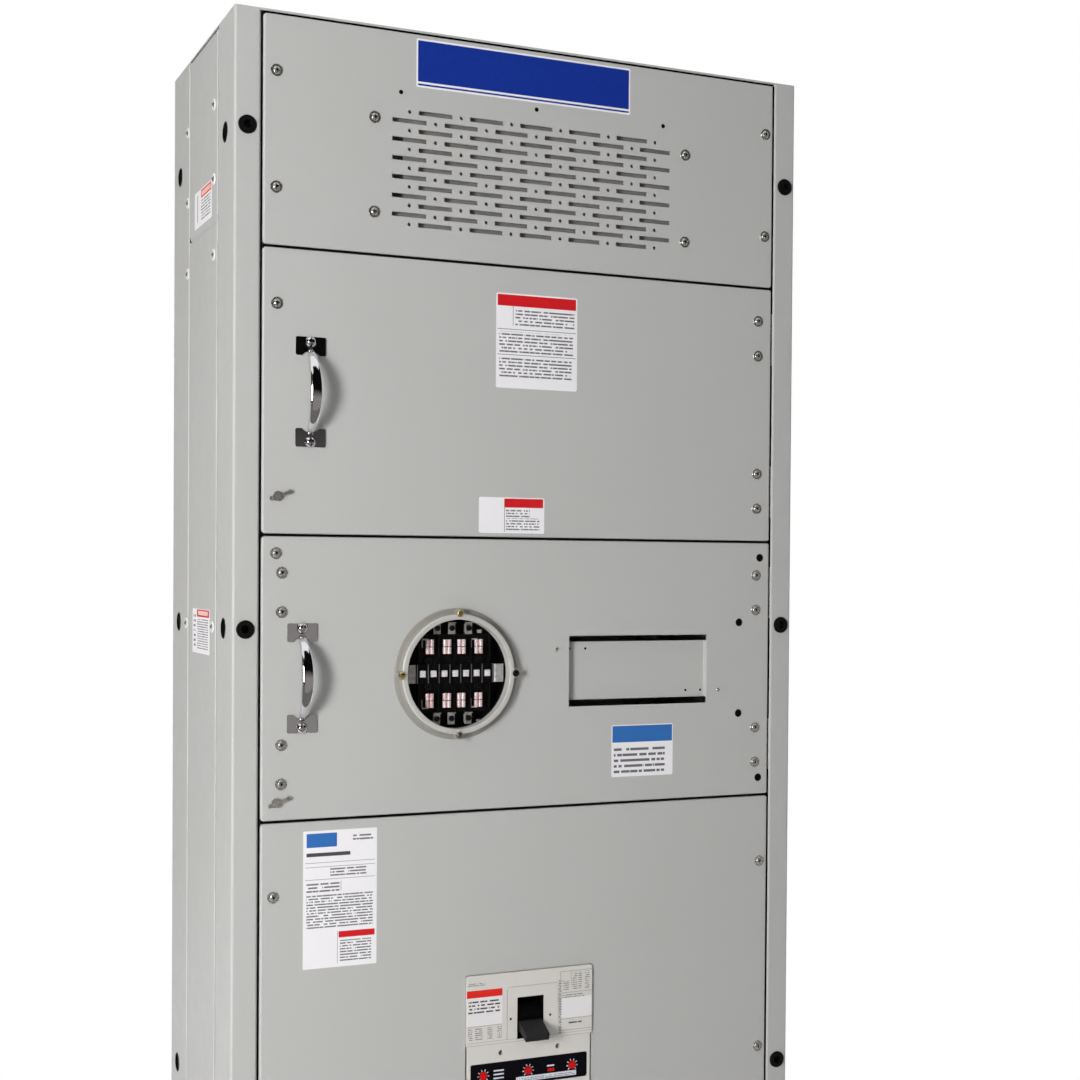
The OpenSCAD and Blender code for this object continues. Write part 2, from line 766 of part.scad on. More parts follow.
// Drip baffle: a plate behind the slots, on four joggled straps
module vent_baffle() {
    t = 1.5;
    strap_h = 14;
    skin_back = front_y + door_t;
    y = front_y + baffle_back;
    slots_end = vent_pitch_x * (vent_columns - 1) / 2 + slot_l / 2;
    plate_x = [baffle_open_end - slots_end, slots_end + baffle_over];
    plate_z = [baffle_screw_z[1] - vent_pitch_z - baffle_over, vent_top + baffle_over];
    color(grey) translate([vent_x, 0, 0]) difference() {
        union() {
            translate([plate_x[0], y, plate_z[0]])
                cube([plate_x[1] - plate_x[0], t, plate_z[1] - plate_z[0]]);
            for (m = [-1, 1], z = baffle_screw_z) translate([0, 0, z - strap_h / 2])
                linear_extrude(strap_h) {
                    tab = m * baffle_screw_x;
                    riser = m > 0 ? tab - 8 : tab + 8 - t;
                    translate([tab - 8, skin_back]) square([16, t]);
                    translate([riser, skin_back]) square([t, y + t - skin_back]);
                    translate([m > 0 ? plate_x[1] : riser, y])
                        square([m > 0 ? riser + t - plate_x[1] : plate_x[0] - riser, t]);
                }
        }
        for (m = [-1, 1], z = baffle_screw_z) front_hole(m * baffle_screw_x, z,
            screw_d + 2 * hole_clearance, 12);
    }
}

module breaker_window(extra) {
    translate([-breaker_w / 2 - extra, front_y - 10, breaker_bottom - extra])
        cube([breaker_w + 2 * extra, 40, breaker_h + 2 * extra]);
}

module breaker_panel() {
    color(grey) difference() {
        front_pan(breaker_z);
        panel_holes(breaker_screw_z);
        breaker_window(0.8);
    }
}

module bottom_panel() {
    color(grey) difference() {
        front_pan(bottom_z);
        panel_holes(bottom_screw_z);
    }
}

module cover_screws() {
    reach = strike_back + post_t + 6;
    color(zinc) {
        for (z = fixed_screw_z, x = [panel_left + screw_inset_left,
            panel_right - screw_inset_right]) front_screw(x, z, reach);
        for (m = [-1, 1], z = baffle_screw_z) front_screw(vent_x + m * baffle_screw_x, z, 8);
        for (z = rear_screw_z, x = [-rear_screw_x, rear_screw_x]) translate([x, rear_y, z])
            rotate([0, 0, 180]) slotted_screw(screw_head_d, 3.6, screw_d, reach);
        for (s = [-1, 1], z = side_screw_z, y = [side_screw_front, side_screw_rear])
            translate([s * right_x, y, z]) rotate([0, 0, s * 90])
                slotted_screw(screw_head_d - 1, 3.4, screw_d - 1, 9);
    }
}

// Open rubber bushings in the front joining holes
module post_bushings() {
    r = joint_hole_d / 2;
    color(black) for (m = [0, 1], z = joint_z) mirror([m, 0, 0])
        translate([left_x + bushing_in, front_y, z]) rotate([-90, 0, 0]) rotate_extrude()
            polygon([[r - 5, -2.6], [r + 0.6, -2.6], [r + 2, -1.2], [r + 2, 0], [r - fit_gap, 0],
                [r - fit_gap, post_t + 2], [r - 3, post_t + 3], [r - 5, post_t + 3]]);
}

// Horizontal barrier sheets between the compartments, open where the bus passes
module compartment_barriers() {
    t = 1.9;
    z_under = [seam_z[1], seam_z[2]];
    y1 = rear_y - strike_back - post_t;
    window = [2 * pole_pitch + bus_w + 40, bus_t + 60];
    color(grey) for (z = z_under) difference() {
        translate([-bay_in, rail_y + 6, z + rail_h / 2]) cube([2 * bay_in, y1 - rail_y - 6, t]);
        translate([-window[0] / 2, bus_y - 30, z]) cube([window[0], window[1], rail_h]);
    }
}

// ---- Hinges ----

module hinge_brackets() {
    reach = right_x - wall_in - pivot_x;
    ear_y = [front_y + post_t + 0.4, pivot_y + 6];
    h = arm_h + 2 * (ear_t + ear_gap);
    color(zinc) for (z = concat(hinge_z(utility_z), hinge_z(meter_z)))
        translate([pivot_x, 0, z - h / 2]) difference() {
            union() {
                translate([reach - 3, ear_y[0], 0]) cube([3, ear_y[1] - ear_y[0], h]);
                for (k = [0, h - ear_t]) translate([-5.5, ear_y[0], k])
                    cube([reach + 5.5, ear_y[1] - ear_y[0], ear_t]);
            }
            translate([0, pivot_y, -1]) cylinder(h = h + 2, d = pin_d);
        }
}

module hinge_pins() {
    h = arm_h + 2 * (ear_t + ear_gap);
    color(zinc) for (z = concat(hinge_z(utility_z), hinge_z(meter_z)))
        translate([pivot_x, pivot_y, z - h / 2]) {
            cylinder(h = h, d = pin_d);
            translate([0, 0, h]) cylinder(h = 1.2, d = pin_d + 2.4);
        }
}

// Gooseneck arm in plan: hinge axis at the origin, door to -x, its skin's inner face at leaf_y
module arm_section() {
    leaf_y = -(pivot_back - door_t);
    mid = (arm_in + arm_out) / 2;
    difference() {
        circle(barrel_r);
        circle(pin_d / 2 + pin_clearance);
    }
    // ring from behind the axis round to the door side
    intersection() {
        difference() {
            circle(arm_out, $fn = 96);
            circle(arm_in, $fn = 96);
        }
        polygon([[0, 0], 40 * [cos(arm_start), sin(arm_start)], [0, 60], [-60, 60], [-60, 0]]);
    }
    // web from the ring in to the barrel
    rotate(arm_start) translate([barrel_r - 1, 0]) square([arm_in - barrel_r + 1.4, arm_t]);
    // run forward to the door and the leaf against its skin
    translate([-arm_out, leaf_y]) square([arm_t, -leaf_y]);
    translate([-arm_leaf, leaf_y]) square([arm_leaf - arm_in, arm_t]);
}

module hinge_arms(span) {
    color(zinc) for (z = hinge_z(span)) difference() {
        translate([pivot_x, pivot_y, z - arm_h / 2]) linear_extrude(arm_h) arm_section();
        for (s = [-0.5, 0.5]) front_hole(hinge_screw_x, z + s * hinge_screw_pitch,
            screw_d + 2 * hole_clearance, 14);
    }
}

// ---- Doors ----

// A door skin: a pan whose right return is notched for the hinge arms
module door_skin(span) {
    difference() {
        front_pan(span);
        for (z = hinge_z(span)) translate([panel_right - door_t - 6, front_y + door_t,
            z - arm_h / 2 - 3]) cube([door_t + 8, door_depth, arm_h + 6]);
        for (z = hinge_screws(span))
            front_hole(hinge_screw_x, z, screw_d + 2 * hole_clearance);
    }
}

module handle_holes(x, span) {
    for (s = [-0.5, 0.5]) front_hole(x, middle(span) + s * handle_pitch,
        screw_d + 2 * hole_clearance);
}

module utility_door_skin() {
    color(grey) difference() {
        door_skin(utility_z);
        handle_holes(utility_handle_x, utility_z);
        front_hole(captive_x, utility_captive_z, screw_d + 2 * hole_clearance);
        front_hole(latch_x, utility_latch_z, 2 * latch_r + 2 * hole_clearance);
    }
}

module meter_door_skin() {
    color(grey) difference() {
        door_skin(meter_z);
        handle_holes(meter_handle_x, meter_z);
        front_hole(captive_x, meter_captive_z, screw_d + 2 * hole_clearance);
        front_hole(latch_x, meter_latch_z, 2 * latch_r + 2 * hole_clearance);
        for (p = reverse_holes) front_hole(p.x, middle(meter_z) + p.y, reverse_hole_d);
        for (z = hinge_screws(meter_z))
            front_hole(reverse_screw_x, z, screw_d + 2 * hole_clearance);
        front_hole(meter_x, meter_zc, ring_bore_d);
        on_meter_axis() ring_screw_holes();
        translate([window_x - window_w / 2, front_y - 1, meter_zc - window_h / 2])
            cube([window_w, 10, window_h]);
        for (s = [-1, 1]) front_hole(window_x + s * plate_screw_x, meter_zc - s * plate_screw_z, 4.2);
    }
}

module utility_hinge_arms() { hinge_arms(utility_z); }
module meter_hinge_arms() { hinge_arms(meter_z); }

module utility_door_screws() {
    color(zinc) {
        for (z = hinge_screws(utility_z)) front_screw(hinge_screw_x, z, door_t + arm_t + 2);
        front_screw(captive_x, utility_captive_z, strike_back + post_t + 4);
    }
}

module meter_door_screws() {
    color(zinc) {
        for (z = hinge_screws(meter_z)) {
            front_screw(hinge_screw_x, z, door_t + arm_t + 2);
            front_screw(reverse_screw_x, z, door_t + 4);
        }
        front_screw(captive_x, meter_captive_z, strike_back + post_t + 4);
        for (s = [-1, 1])
            translate([window_x + s * plate_screw_x, front_y, meter_zc - s * plate_screw_z])
                slotted_screw(7.5, 2, 3.6, door_t + 3, 1);
    }
}

// Pull handle: an arched bow, widest at its middle, on two screwed brackets
module handle_bow(x, z) {
    half = asin(bow_span / 2 / bow_r) + 10;
    color(chrome) translate([x, front_y - bracket_t, z]) intersection() {
        translate([0, bow_r - bow_rise, 0]) rotate([0, 90, 0]) rotate([0, 0, -90 - half])
            rotate_extrude(angle = 2 * half, $fn = 96) translate([bow_r, 0]) intersection() {
                translate([bow_t / 2 - bow_crown_r, 0]) circle(bow_crown_r);
                square([bow_t, bow_w + 3], center = true);
            }
        // lens seen from the front, so that the bow narrows towards its feet
        rotate([90, 0, 0]) linear_extrude(bow_reach + bow_t) intersection() {
            translate([bow_taper_r - bow_w / 2, 0]) circle(bow_taper_r, $fn = 180);
            translate([bow_w / 2 - bow_taper_r, 0]) circle(bow_taper_r, $fn = 180);
        }
    }
}

module handle_brackets(x, z) {
    for (s = [0, 1]) translate([x, front_y, z]) mirror([0, 0, s]) {
        out = handle_pitch / 2 + bracket_out;
        color(chrome) difference() {
            rotate([90, 0, 0]) linear_extrude(bracket_t) {
                difference() {
                    translate([-bracket_w / 2, out - bracket_h]) rounded(bracket_w, bracket_h, 2.5);
                    // scooped edge under the bow's foot
                    translate([0, out - bracket_h - 11]) circle(17);
                }
                translate([-4, bow_span / 2 - 6]) square([8, 12]);
            }
            translate([0, 0, handle_pitch / 2]) local_hole(screw_d + 2 * hole_clearance);
        }
        color(zinc) translate([0, -bracket_t, handle_pitch / 2])
            slotted_screw(screw_head_d + 4, 6, screw_d, door_t + bracket_t + 6, 1.8);
    }
}

module local_hole(d) {
    translate([0, -10, 0]) rotate([-90, 0, 0]) cylinder(h = 20, d = d);
}

module utility_handle_bow() { handle_bow(utility_handle_x, middle(utility_z)); }
module utility_handle_brackets() { handle_brackets(utility_handle_x, middle(utility_z)); }
module meter_handle_bow() { handle_bow(meter_handle_x, middle(meter_z)); }
module meter_handle_brackets() { handle_brackets(meter_handle_x, middle(meter_z)); }

// Sealing latch: a wing knob on a quarter-turn stud, drilled for a seal wire
module sealing_latch(z) {
    reach = [-10, 18];          // its two sealing eyes, along the lever
    color(zinc) translate([latch_x, front_y, z]) {
        rotate([90, 0, 0]) cylinder(h = 2.6, d = 14);
        rotate([90, 0, 0]) cylinder(h = 6.4, d = 8);
        rotate([-90, 0, 0]) cylinder(h = strike_back + post_t + 4, r = latch_r);
        rotate([90, -20, 0]) translate([0, 0, 2]) linear_extrude(2.4) difference() {
            union() {
                translate([reach[0], -2.2]) square([reach[1] - reach[0], 4.4]);
                for (x = reach) translate([x, 0]) circle(3.1);
            }
            for (x = reach) translate([x, 0]) circle(1.5);
        }
    }
}
module utility_latch() { sealing_latch(utility_latch_z); }
module meter_latch() { sealing_latch(meter_latch_z); }

// ---- Meter socket ----

module on_meter_axis() {
    translate([meter_x, front_y, meter_zc]) children();
}

// Turned about the meter axis; profile points are [radius, depth behind the door's face]
module revolve_y() {
    rotate([-90, 0, 0]) rotate_extrude($fn = 96) children();
}

module ring_screw_holes() {
    for (a = [0:90:270]) rotate([0, a, 0]) translate([0, -20, ring_screw_circle / 2])
        rotate([-90, 0, 0]) cylinder(h = 40, d = 3.6 + 2 * hole_clearance);
}

module meter_ring() {
    face_r = ring_screw_circle / 2 - 1.5;
    color(tin) on_meter_axis() difference() {
        union() {
            revolve_y() polygon([[ring_bore_r, -ring_reach + 1], [ring_bore_r + 1, -ring_reach],
                [face_r - 1, -ring_reach], [face_r, -ring_reach + 1], [face_r + 3, -4],
                [ring_r - 1, -2.5], [ring_r, -1.6], [ring_r, 0], [ring_bore_r, 0]]);
            for (a = [0:90:270]) rotate([0, a, 0]) translate([0, 0, ring_screw_circle / 2])
                rotate([90, 0, 0]) cylinder(h = ring_reach + ring_boss, r = 6.6);
        }
        ring_screw_holes();
        // gap of the ring's clamp at the right
        translate([ring_r - 5, -4, -9]) cube([10, 5, 18]);
    }
}

module meter_ring_screws() {
    color([0.72, 0.63, 0.36]) on_meter_axis() for (a = [0:90:270]) rotate([0, a, 0])
        translate([0, -ring_reach - ring_boss, ring_screw_circle / 2])
            slotted_screw(11, 3, 3.6, ring_reach + ring_boss + door_t + 5, 1.2);
}

barrier_y = door_t + 0.7;   // nothing in the socket comes forward of the door's inner face
module socket_block() {
    block_w = 7 * terminal_pitch + 6;
    out_r = ring_bore_r + cup_wall + 1;
    skin = door_t;
    color(black) on_meter_axis() {
        // round housing with its floor and a flange against the back of the door
        difference() {
            revolve_y() polygon([[ring_bore_r + 1, skin], [out_r + 8, skin], [out_r + 8, skin + 3],
                [out_r, skin + 3], [out_r, socket_depth], [0, socket_depth], [0, cup_floor],
                [ring_bore_r + 1, cup_floor]]);
            ring_screw_holes();
        }
        // middle block and its barriers
        translate([-block_w / 2, 10, -14]) cube([block_w, cup_floor - 10, 28]);
        for (i = [0:7]) translate([(i - 3.5) * terminal_pitch - 0.8, barrier_y, -14])
            cube([1.6, 9, 28]);
        // jaw blocks with ribs between the jaws
        for (s = [-1, 1]) {
            translate([-58, jaw_block_y, s > 0 ? 14 : -58]) cube([116, cup_floor - jaw_block_y, 44]);
            for (x = [-56, -(jaw_x[0] + jaw_x[1]) / 2, 0, (jaw_x[0] + jaw_x[1]) / 2, 56])
                translate([x - 1, 6, s > 0 ? 16 : -58]) cube([2, 10, 42]);
            for (x = [-33, 33]) translate([x - 7, 12, s * 19 - 5]) cube([14, 4, 10]);
        }
    }
}

// A jaw: two sprung leaves, each split across its middle
module jaw(foot) {
    leaf_t = 2.2;
    for (m = [-1, 1], k = [-1, 1]) translate([m * 3.6, 0, k * 5.6]) {
        translate([-leaf_t / 2, 1, -4.9]) cube([leaf_t, foot - 1, 9.8]);
        translate([0, 1, -4.9]) cylinder(h = 9.8, r = 2.4);
    }
}

module socket_jaws() {
    bond_x = 3.5 * terminal_pitch + 3.5;
    color(tin) on_meter_axis() {
        for (x = concat(jaw_x, -jaw_x), s = [-1, 1])
            translate([x, jaw_y, s * jaw_z]) jaw(jaw_block_y - jaw_y);
        for (i = [-3:3]) translate([i * terminal_pitch + 1.2 - 4.5, 5.5, -4.3])
            cube([9, 4.5, 8.6]);
        // line and load lugs, with their screws, above and below
        for (s = [-1, 1], x = [-26, -3, 24]) translate([x, 12, s * 67]) {
            translate([-6.5, 0, -7]) cube([13, cup_floor - 12, 14]);
            translate([0, -3, 0]) rotate([-90, 0, 0]) cylinder(h = 3, d = 8.5);
        }
        // bonding bracket at the right
        translate([bond_x, barrier_y, -14]) cube([2, cup_floor - barrier_y, 28]);
        translate([bond_x, barrier_y, -14]) cube([15, 2, 28]);
    }
}

module test_switch_plate() {
    recess = 8;
    t = 1.9;
    half = window_w / 2 + 1;
    end = half + plate_tab;
    y = front_y + door_t;
    h = t / 2;
    color(grey) difference() {
        translate([window_x, y, meter_zc - plate_h / 2]) linear_extrude(plate_h)
            bent_sheet([[-end, h], [-half, h], [-half, recess + h], [half, recess + h],
                [half, h], [end, h]], t, 2);
        for (s = [-1, 1]) front_hole(window_x + s * plate_screw_x,
            meter_zc - s * plate_screw_z, 4.2, 10);
        for (s = [-1, 1], k = [88, 114.6])
            front_hole(window_x + s * k, meter_zc - s * plate_screw_z, 3.4, 20);
    }
}

// ---- Main breaker ----

module breaker_pan() {
    d = 20;
    h = pan_t / 2;
    section = [[-pan_half + h, -d], [-pan_half + h, h], [pan_half - h, h], [pan_half - h, -d]];
    color(grey) difference() {
        translate([0, breaker_back, pan_z[0]]) linear_extrude(height(pan_z))
            bent_sheet(section, pan_t, bend_r - h);
        breaker_bolt_holes();
    }
}
module breaker_bolt_holes() {
    for (p = breaker_bolts) translate([p.x, breaker_back - 1, p.y]) rotate([-90, 0, 0])
        cylinder(h = 10, d = screw_d + 2 * hole_clearance);
}

module toggle_cavity() {
    translate([-drum_w / 2 - 1, toggle_y, toggle_z]) rotate([0, 90, 0])
        cylinder(h = drum_w + 2, r = cavity_r);
    translate([-drum_w / 2 - 6, toggle_y, toggle_z]) rotate([0, 90, 0])
        cylinder(h = drum_w + 12, r = trunnion_r + pin_clearance);
}

module breaker_case() {
    depth = breaker_back - cover_back;
    color(cream) difference() {
        translate([-breaker_w / 2, cover_back, breaker_bottom]) cube([breaker_w, depth, breaker_h]);
        toggle_cavity();
        for (x = pole_x) {
            translate([x - bus_w / 2 - 3, pocket_y, breaker_top - pocket_h])
                cube([bus_w + 6, pocket_d, pocket_h + 1]);
            translate([x - bus_w / 2 - 3, pocket_y, breaker_bottom - 1])
                cube([bus_w + 6, pocket_d, pocket_h + 1]);
        }
        for (p = breaker_bolts) translate([p.x, cover_back - 1, p.y]) rotate([-90, 0, 0]) {
            cylinder(h = depth + 2, d = screw_d + 2 * hole_clearance);
            cylinder(h = bolt_seat - cover_back + 1, d = 10);
        }
        for (s = [-1, 1]) translate([s * cover_screw_x, cover_back - 1, cover_screw_z])
            rotate([-90, 0, 0]) cylinder(h = 20, d = 5);
    }
}

// Front cover: a raised upper field with the toggle's surround, then a step down
module breaker_cover() {
    step_z = breaker_top - upper_field_h;
    step_in = 2;
    color(cream) difference() {
        union() {
            translate([-breaker_w / 2, cover_back, step_z]) rotate([90, 0, 0])
                linear_extrude(cover_d) {
                    rounded(breaker_w, upper_field_h, 4);
                    square([breaker_w, 8]);
                }
            // band under the step, and the raised field round the toggle
            translate([-breaker_w / 2 + 5, breaker_face + step_in / 2, step_z - 5])
                cube([breaker_w - 10, step_in, 6]);
            translate([-37, breaker_face + 1, toggle_z - 33]) rotate([90, 0, 0])
                linear_extrude(1.7) rounded(82.5, 81, 5);
            translate([-breaker_w / 2 + step_in, breaker_face + step_in, breaker_bottom])
                cube([breaker_w - 2 * step_in, cover_d - step_in, step_z - breaker_bottom]);
        }
        // square keyways beside the toggle
        for (s = [-1, 1]) translate([s * 32.5 - 1.6, breaker_face - 1, toggle_z - 1.6])
            cube([3.2, 6, 3.2]);
        translate([-toggle_slot_w / 2, breaker_face - 5, toggle_z - toggle_slot_h / 2])
            cube([toggle_slot_w, cover_d + 10, toggle_slot_h]);
        toggle_cavity();
        // bed of the trip unit's cover
        translate([-trip_w / 2, breaker_face - 1, trip_top - trip_h])
            cube([trip_w, step_in + 3, trip_h]);
        for (s = [-1, 1]) translate([s * cover_screw_x, breaker_face - 1, cover_screw_z])
            rotate([-90, 0, 0]) {
                cylinder(h = cover_d + 2, d = 5);
                cylinder(h = 9, d = 8);
            }
        // dial and button wells
        for (x = dial_x) translate([x, breaker_face, dial_z]) rotate([-90, 0, 0])
            cylinder(h = 16, d = dial_shaft_d + 2 * pin_clearance);
        button_well();
    }
}

module button_well() {
    c = 0.4;
    translate([button_x - button_size[0] / 2 - c, breaker_face, button_z - button_size[1] / 2 - c])
        cube([button_size[0] + 2 * c, 14, button_size[1] + 2 * c]);
}

module trip_unit_cover() {
    t = 2;
    color(black) difference() {
        translate([-trip_w / 2, breaker_face + 4, trip_top - trip_h]) rotate([90, 0, 0])
            linear_extrude(t) rounded(trip_w, trip_h, 5);
        for (x = dial_x) translate([x, breaker_face, dial_z]) rotate([-90, 0, 0])
            cylinder(h = 10, d = dial_d + 0.8);
        button_well();
    }
}

module breaker_screws() {
    color([0.55, 0.47, 0.28]) {
        for (s = [-1, 1]) translate([s * cover_screw_x, breaker_face + 8, cover_screw_z])
            slotted_screw(7.4, 2.2, 4.4, 30, 1.1);
        for (p = breaker_bolts) translate([p.x, bolt_seat, p.y])
            slotted_screw(8.6, 4, screw_d, breaker_back - bolt_seat + pan_t + 6, 1.4);
    }
}

// Toggle at rest in its lower, off position
module breaker_toggle() {
    color(black) translate([0, toggle_y, toggle_z]) rotate([toggle_swing, 0, 0]) {
        // curved shutter behind the opening
        translate([-drum_w / 2, 0, 0]) rotate([90, 0, 90]) linear_extrude(drum_w)
            intersection() {
                difference() {
                    circle(drum_r, $fn = 96);
                    circle(drum_r - drum_t, $fn = 96);
                }
                polygon([[0, 0], for (a = [-drum_sweep:drum_sweep:drum_sweep])
                    [-60 * cos(a), -60 * sin(a)]]);
            }
        // lever, waisted behind its blunt tip
        translate([toggle_w / 2, 0, 0]) rotate([90, 0, -90]) linear_extrude(toggle_w)
            polygon([[drum_r - drum_t, -6], [toggle_l - 18, -5], [toggle_l, -6.4], [toggle_l, 3.4],
                [toggle_l - 2, 4.4], [toggle_l - 22, 6.5], [drum_r - drum_t, 8]]);
        // hub and its two cheeks
        translate([-drum_w / 2, 0, 0]) rotate([0, 90, 0]) cylinder(h = drum_w, r = 5);
        translate([-drum_w / 2 - 5, 0, 0]) rotate([0, 90, 0])
            cylinder(h = drum_w + 10, r = trunnion_r);
        for (x = [-drum_w / 2, drum_w / 2 - 3]) translate([x, -drum_r + 1, -4])
            cube([3, drum_r - 1, 8]);
    }
}

// Dial: knurled skirt with a screwdriver slot
module trip_dial(i) {
    color(red) translate([dial_x[i], breaker_face, dial_z]) {
        difference() {
            union() {
                rotate([90, 0, 0]) translate([0, 0, -1]) cylinder(h = 1.6, d = dial_d - 2);
                rotate([90, 0, 0]) translate([0, 0, -3.6]) cylinder(h = 3, d = dial_d);
                rotate([-90, 0, 0]) translate([0, 0, 3]) cylinder(h = 9, d = dial_shaft_d);
            }
            translate([-0.8, -2, -dial_d * 0.36]) cube([1.6, 2.2, dial_d * 0.72]);
            for (a = [0:45:315]) rotate([0, a, 0]) translate([dial_d / 2 + 0.4, 0, 0])
                rotate([-90, 0, 0]) translate([0, 0, -1]) cylinder(h = 6, r = 1.2, $fn = 16);
        }
    }
}
module trip_dial_1() { trip_dial(0); }
module trip_dial_2() { trip_dial(1); }
module trip_dial_3() { trip_dial(2); }

module trip_test_button() {
    color(red) translate([button_x, breaker_face, button_z])
        translate([-button_size[0] / 2, 11, -button_size[1] / 2]) rotate([90, 0, 0])
            linear_extrude(10.8) rounded(button_size[0], button_size[1], 1.4);
}

// ---- Bus and terminations ----

module line_bus() {
    top = seam_z[0] + line_bus_reach;
    color(copper) for (x = pole_x) translate([x - bus_w / 2, bus_y, link_mid + link_l / 2 - link_lap])
        cube([bus_w, bus_t, top - link_mid - link_l / 2 + link_lap]);
}

module ct_links() {
    color(copper) for (x = pole_x) translate([x - bus_w / 2, bus_y - bus_t, link_mid - link_l / 2])
        difference() {
            cube([bus_w, bus_t, link_l]);
            for (z = [15, link_lap - 15, link_l - link_lap + 15, link_l - 15])
                translate([bus_w / 2, -1, z]) rotate([-90, 0, 0]) cylinder(h = bus_t + 2, d = 9.5);
        }
}

// Phase bars down from the links, forward over the breaker and down into its terminals
module load_bus() {
    h = bus_t / 2;
    bottom = breaker_top - pocket_h + 4;
    section = [[tab_y + h, bottom], [tab_y + h, bus_low], [bus_y + h, bus_low],
        [bus_y + h, link_mid - link_l / 2 + link_lap]];
    color(copper) for (x = pole_x) translate([x - bus_w / 2, 0, 0]) rotate([90, 0, 90])
        linear_extrude(bus_w) bent_sheet(section, bus_t, bus_t + h);
}

neutral_reach = side_rail_w - post_t + insulator_l;
module bus_insulators() {
    color(red) {
        for (x = pole_x, z = bus_rail_z) translate([x, bus_y + bus_t, z]) rotate([-90, 0, 0]) {
            cylinder(h = insulator_l, d = insulator_d - 6);
            for (k = [4:9:insulator_l - 9]) translate([0, 0, k]) cylinder(h = 4, d = insulator_d);
        }
        for (z = pan_rail_z) translate([left_x + wall_in + post_t, neutral_y, z])
            rotate([0, 90, 0]) {
                cylinder(h = neutral_reach, d = insulator_d - 6);
                for (k = [4:9:insulator_l - 9]) translate([0, 0, side_rail_w + k])
                    cylinder(h = 4, d = insulator_d);
            }
    }
}

module bus_bolts() {
    color(zinc) for (x = pole_x, z = [15, link_lap - 15, link_l - link_lap + 15, link_l - 15])
        translate([x, bus_y - bus_t, link_mid - link_l / 2 + z]) rotate([90, 0, 0]) {
            cylinder(h = 6, d = 15, $fn = 6);
            translate([0, 0, -bus_t + 1]) cylinder(h = bus_t, d = 9);
        }
}

// Mechanical lug: block with two cable bores along z and a set screw for each, back at y = 0
module cable_lug(w, d, h, bore, hex_d) {
    difference() {
        translate([-w / 2, -d, 0]) cube([w, d, h]);
        for (s = [-1, 1]) translate([s * w / 4, -d / 2, -1]) cylinder(h = h + 2, d = bore);
    }
    for (s = [-1, 1]) translate([s * w / 4, -d, h / 2]) rotate([90, 0, 0]) difference() {
        cylinder(h = 4, d = 11);
        translate([0, 0, 1.5]) cylinder(h = 4, d = hex_d, $fn = 6);
    }
}

module line_lugs() {
    color(tin) for (x = pole_x) translate([x, bus_y, seam_z[0] + 85])
        cable_lug(bus_w, lug_d, 60, 19, 6);
}

module load_lugs() {
    h = 42;
    color(tin) for (x = pole_x) translate([x, pocket_y + pocket_d, breaker_bottom - h]) {
        cable_lug(bus_w, pocket_d, h, 17, 6);
        translate([-bus_w / 2 + 4, -pocket_d, h - eps]) cube([bus_w - 8, 6, pocket_h - 4]);
    }
}

module neutral_bus() {
    t = bus_t;
    len = height(pan_z) - 20;
    color(tin) translate([-bay_in + insulator_l, neutral_y - neutral_bus_w / 2, pan_z[0] + 10]) {
        difference() {
            cube([t, neutral_bus_w, len]);
            for (z = [30:24:len - 30], y = [20, neutral_bus_w - 20]) translate([-1, y, z]) rotate([0, 90, 0])
                cylinder(h = t + 2, d = 8, $fn = 16);
        }
    }
}

module ground_bus() {
    len = ground_bus_l;
    color(copper) translate([-len / 2, rear_y - base_flange + 8, base_h]) difference() {
        cube([len, bus_t, ground_bus_h]);
        for (x = [25:30:len - 20]) translate([x, -1, ground_bus_h - 20]) rotate([-90, 0, 0])
            cylinder(h = bus_t + 2, d = 8, $fn = 16);
    }
}

post_front_left();
post_front_right();
post_rear_left();
post_rear_right();
roof_plate();
base_channels();
front_rails();
side_rails();
bus_rails();
side_panel_left();
side_panel_right();
side_cover_left();
side_cover_right();
rear_covers();
vent_panel();
vent_baffle();
breaker_panel();
bottom_panel();
cover_screws();
post_bushings();
compartment_barriers();
hinge_brackets();
hinge_pins();
breaker_pan();
breaker_case();
breaker_cover();
trip_unit_cover();
breaker_screws();
breaker_toggle();
trip_dial_1();
trip_dial_2();
trip_dial_3();
trip_test_button();
line_lugs();
line_bus();
ct_links();
load_bus();
bus_insulators();
bus_bolts();
load_lugs();
neutral_bus();
ground_bus();
utility_door_skin();
utility_hinge_arms();
utility_door_screws();
utility_handle_bow();
utility_handle_brackets();
utility_latch();
meter_door_skin();
meter_hinge_arms();
meter_door_screws();
meter_handle_bow();
meter_handle_brackets();
meter_latch();
meter_ring();
meter_ring_screws();
socket_block();
socket_jaws();
test_switch_plate();
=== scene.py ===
"""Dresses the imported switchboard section: sheet steel, plating, mouldings, labels and studio."""

import json
import math

import bmesh
import bpy
from mathutils import Matrix, Vector

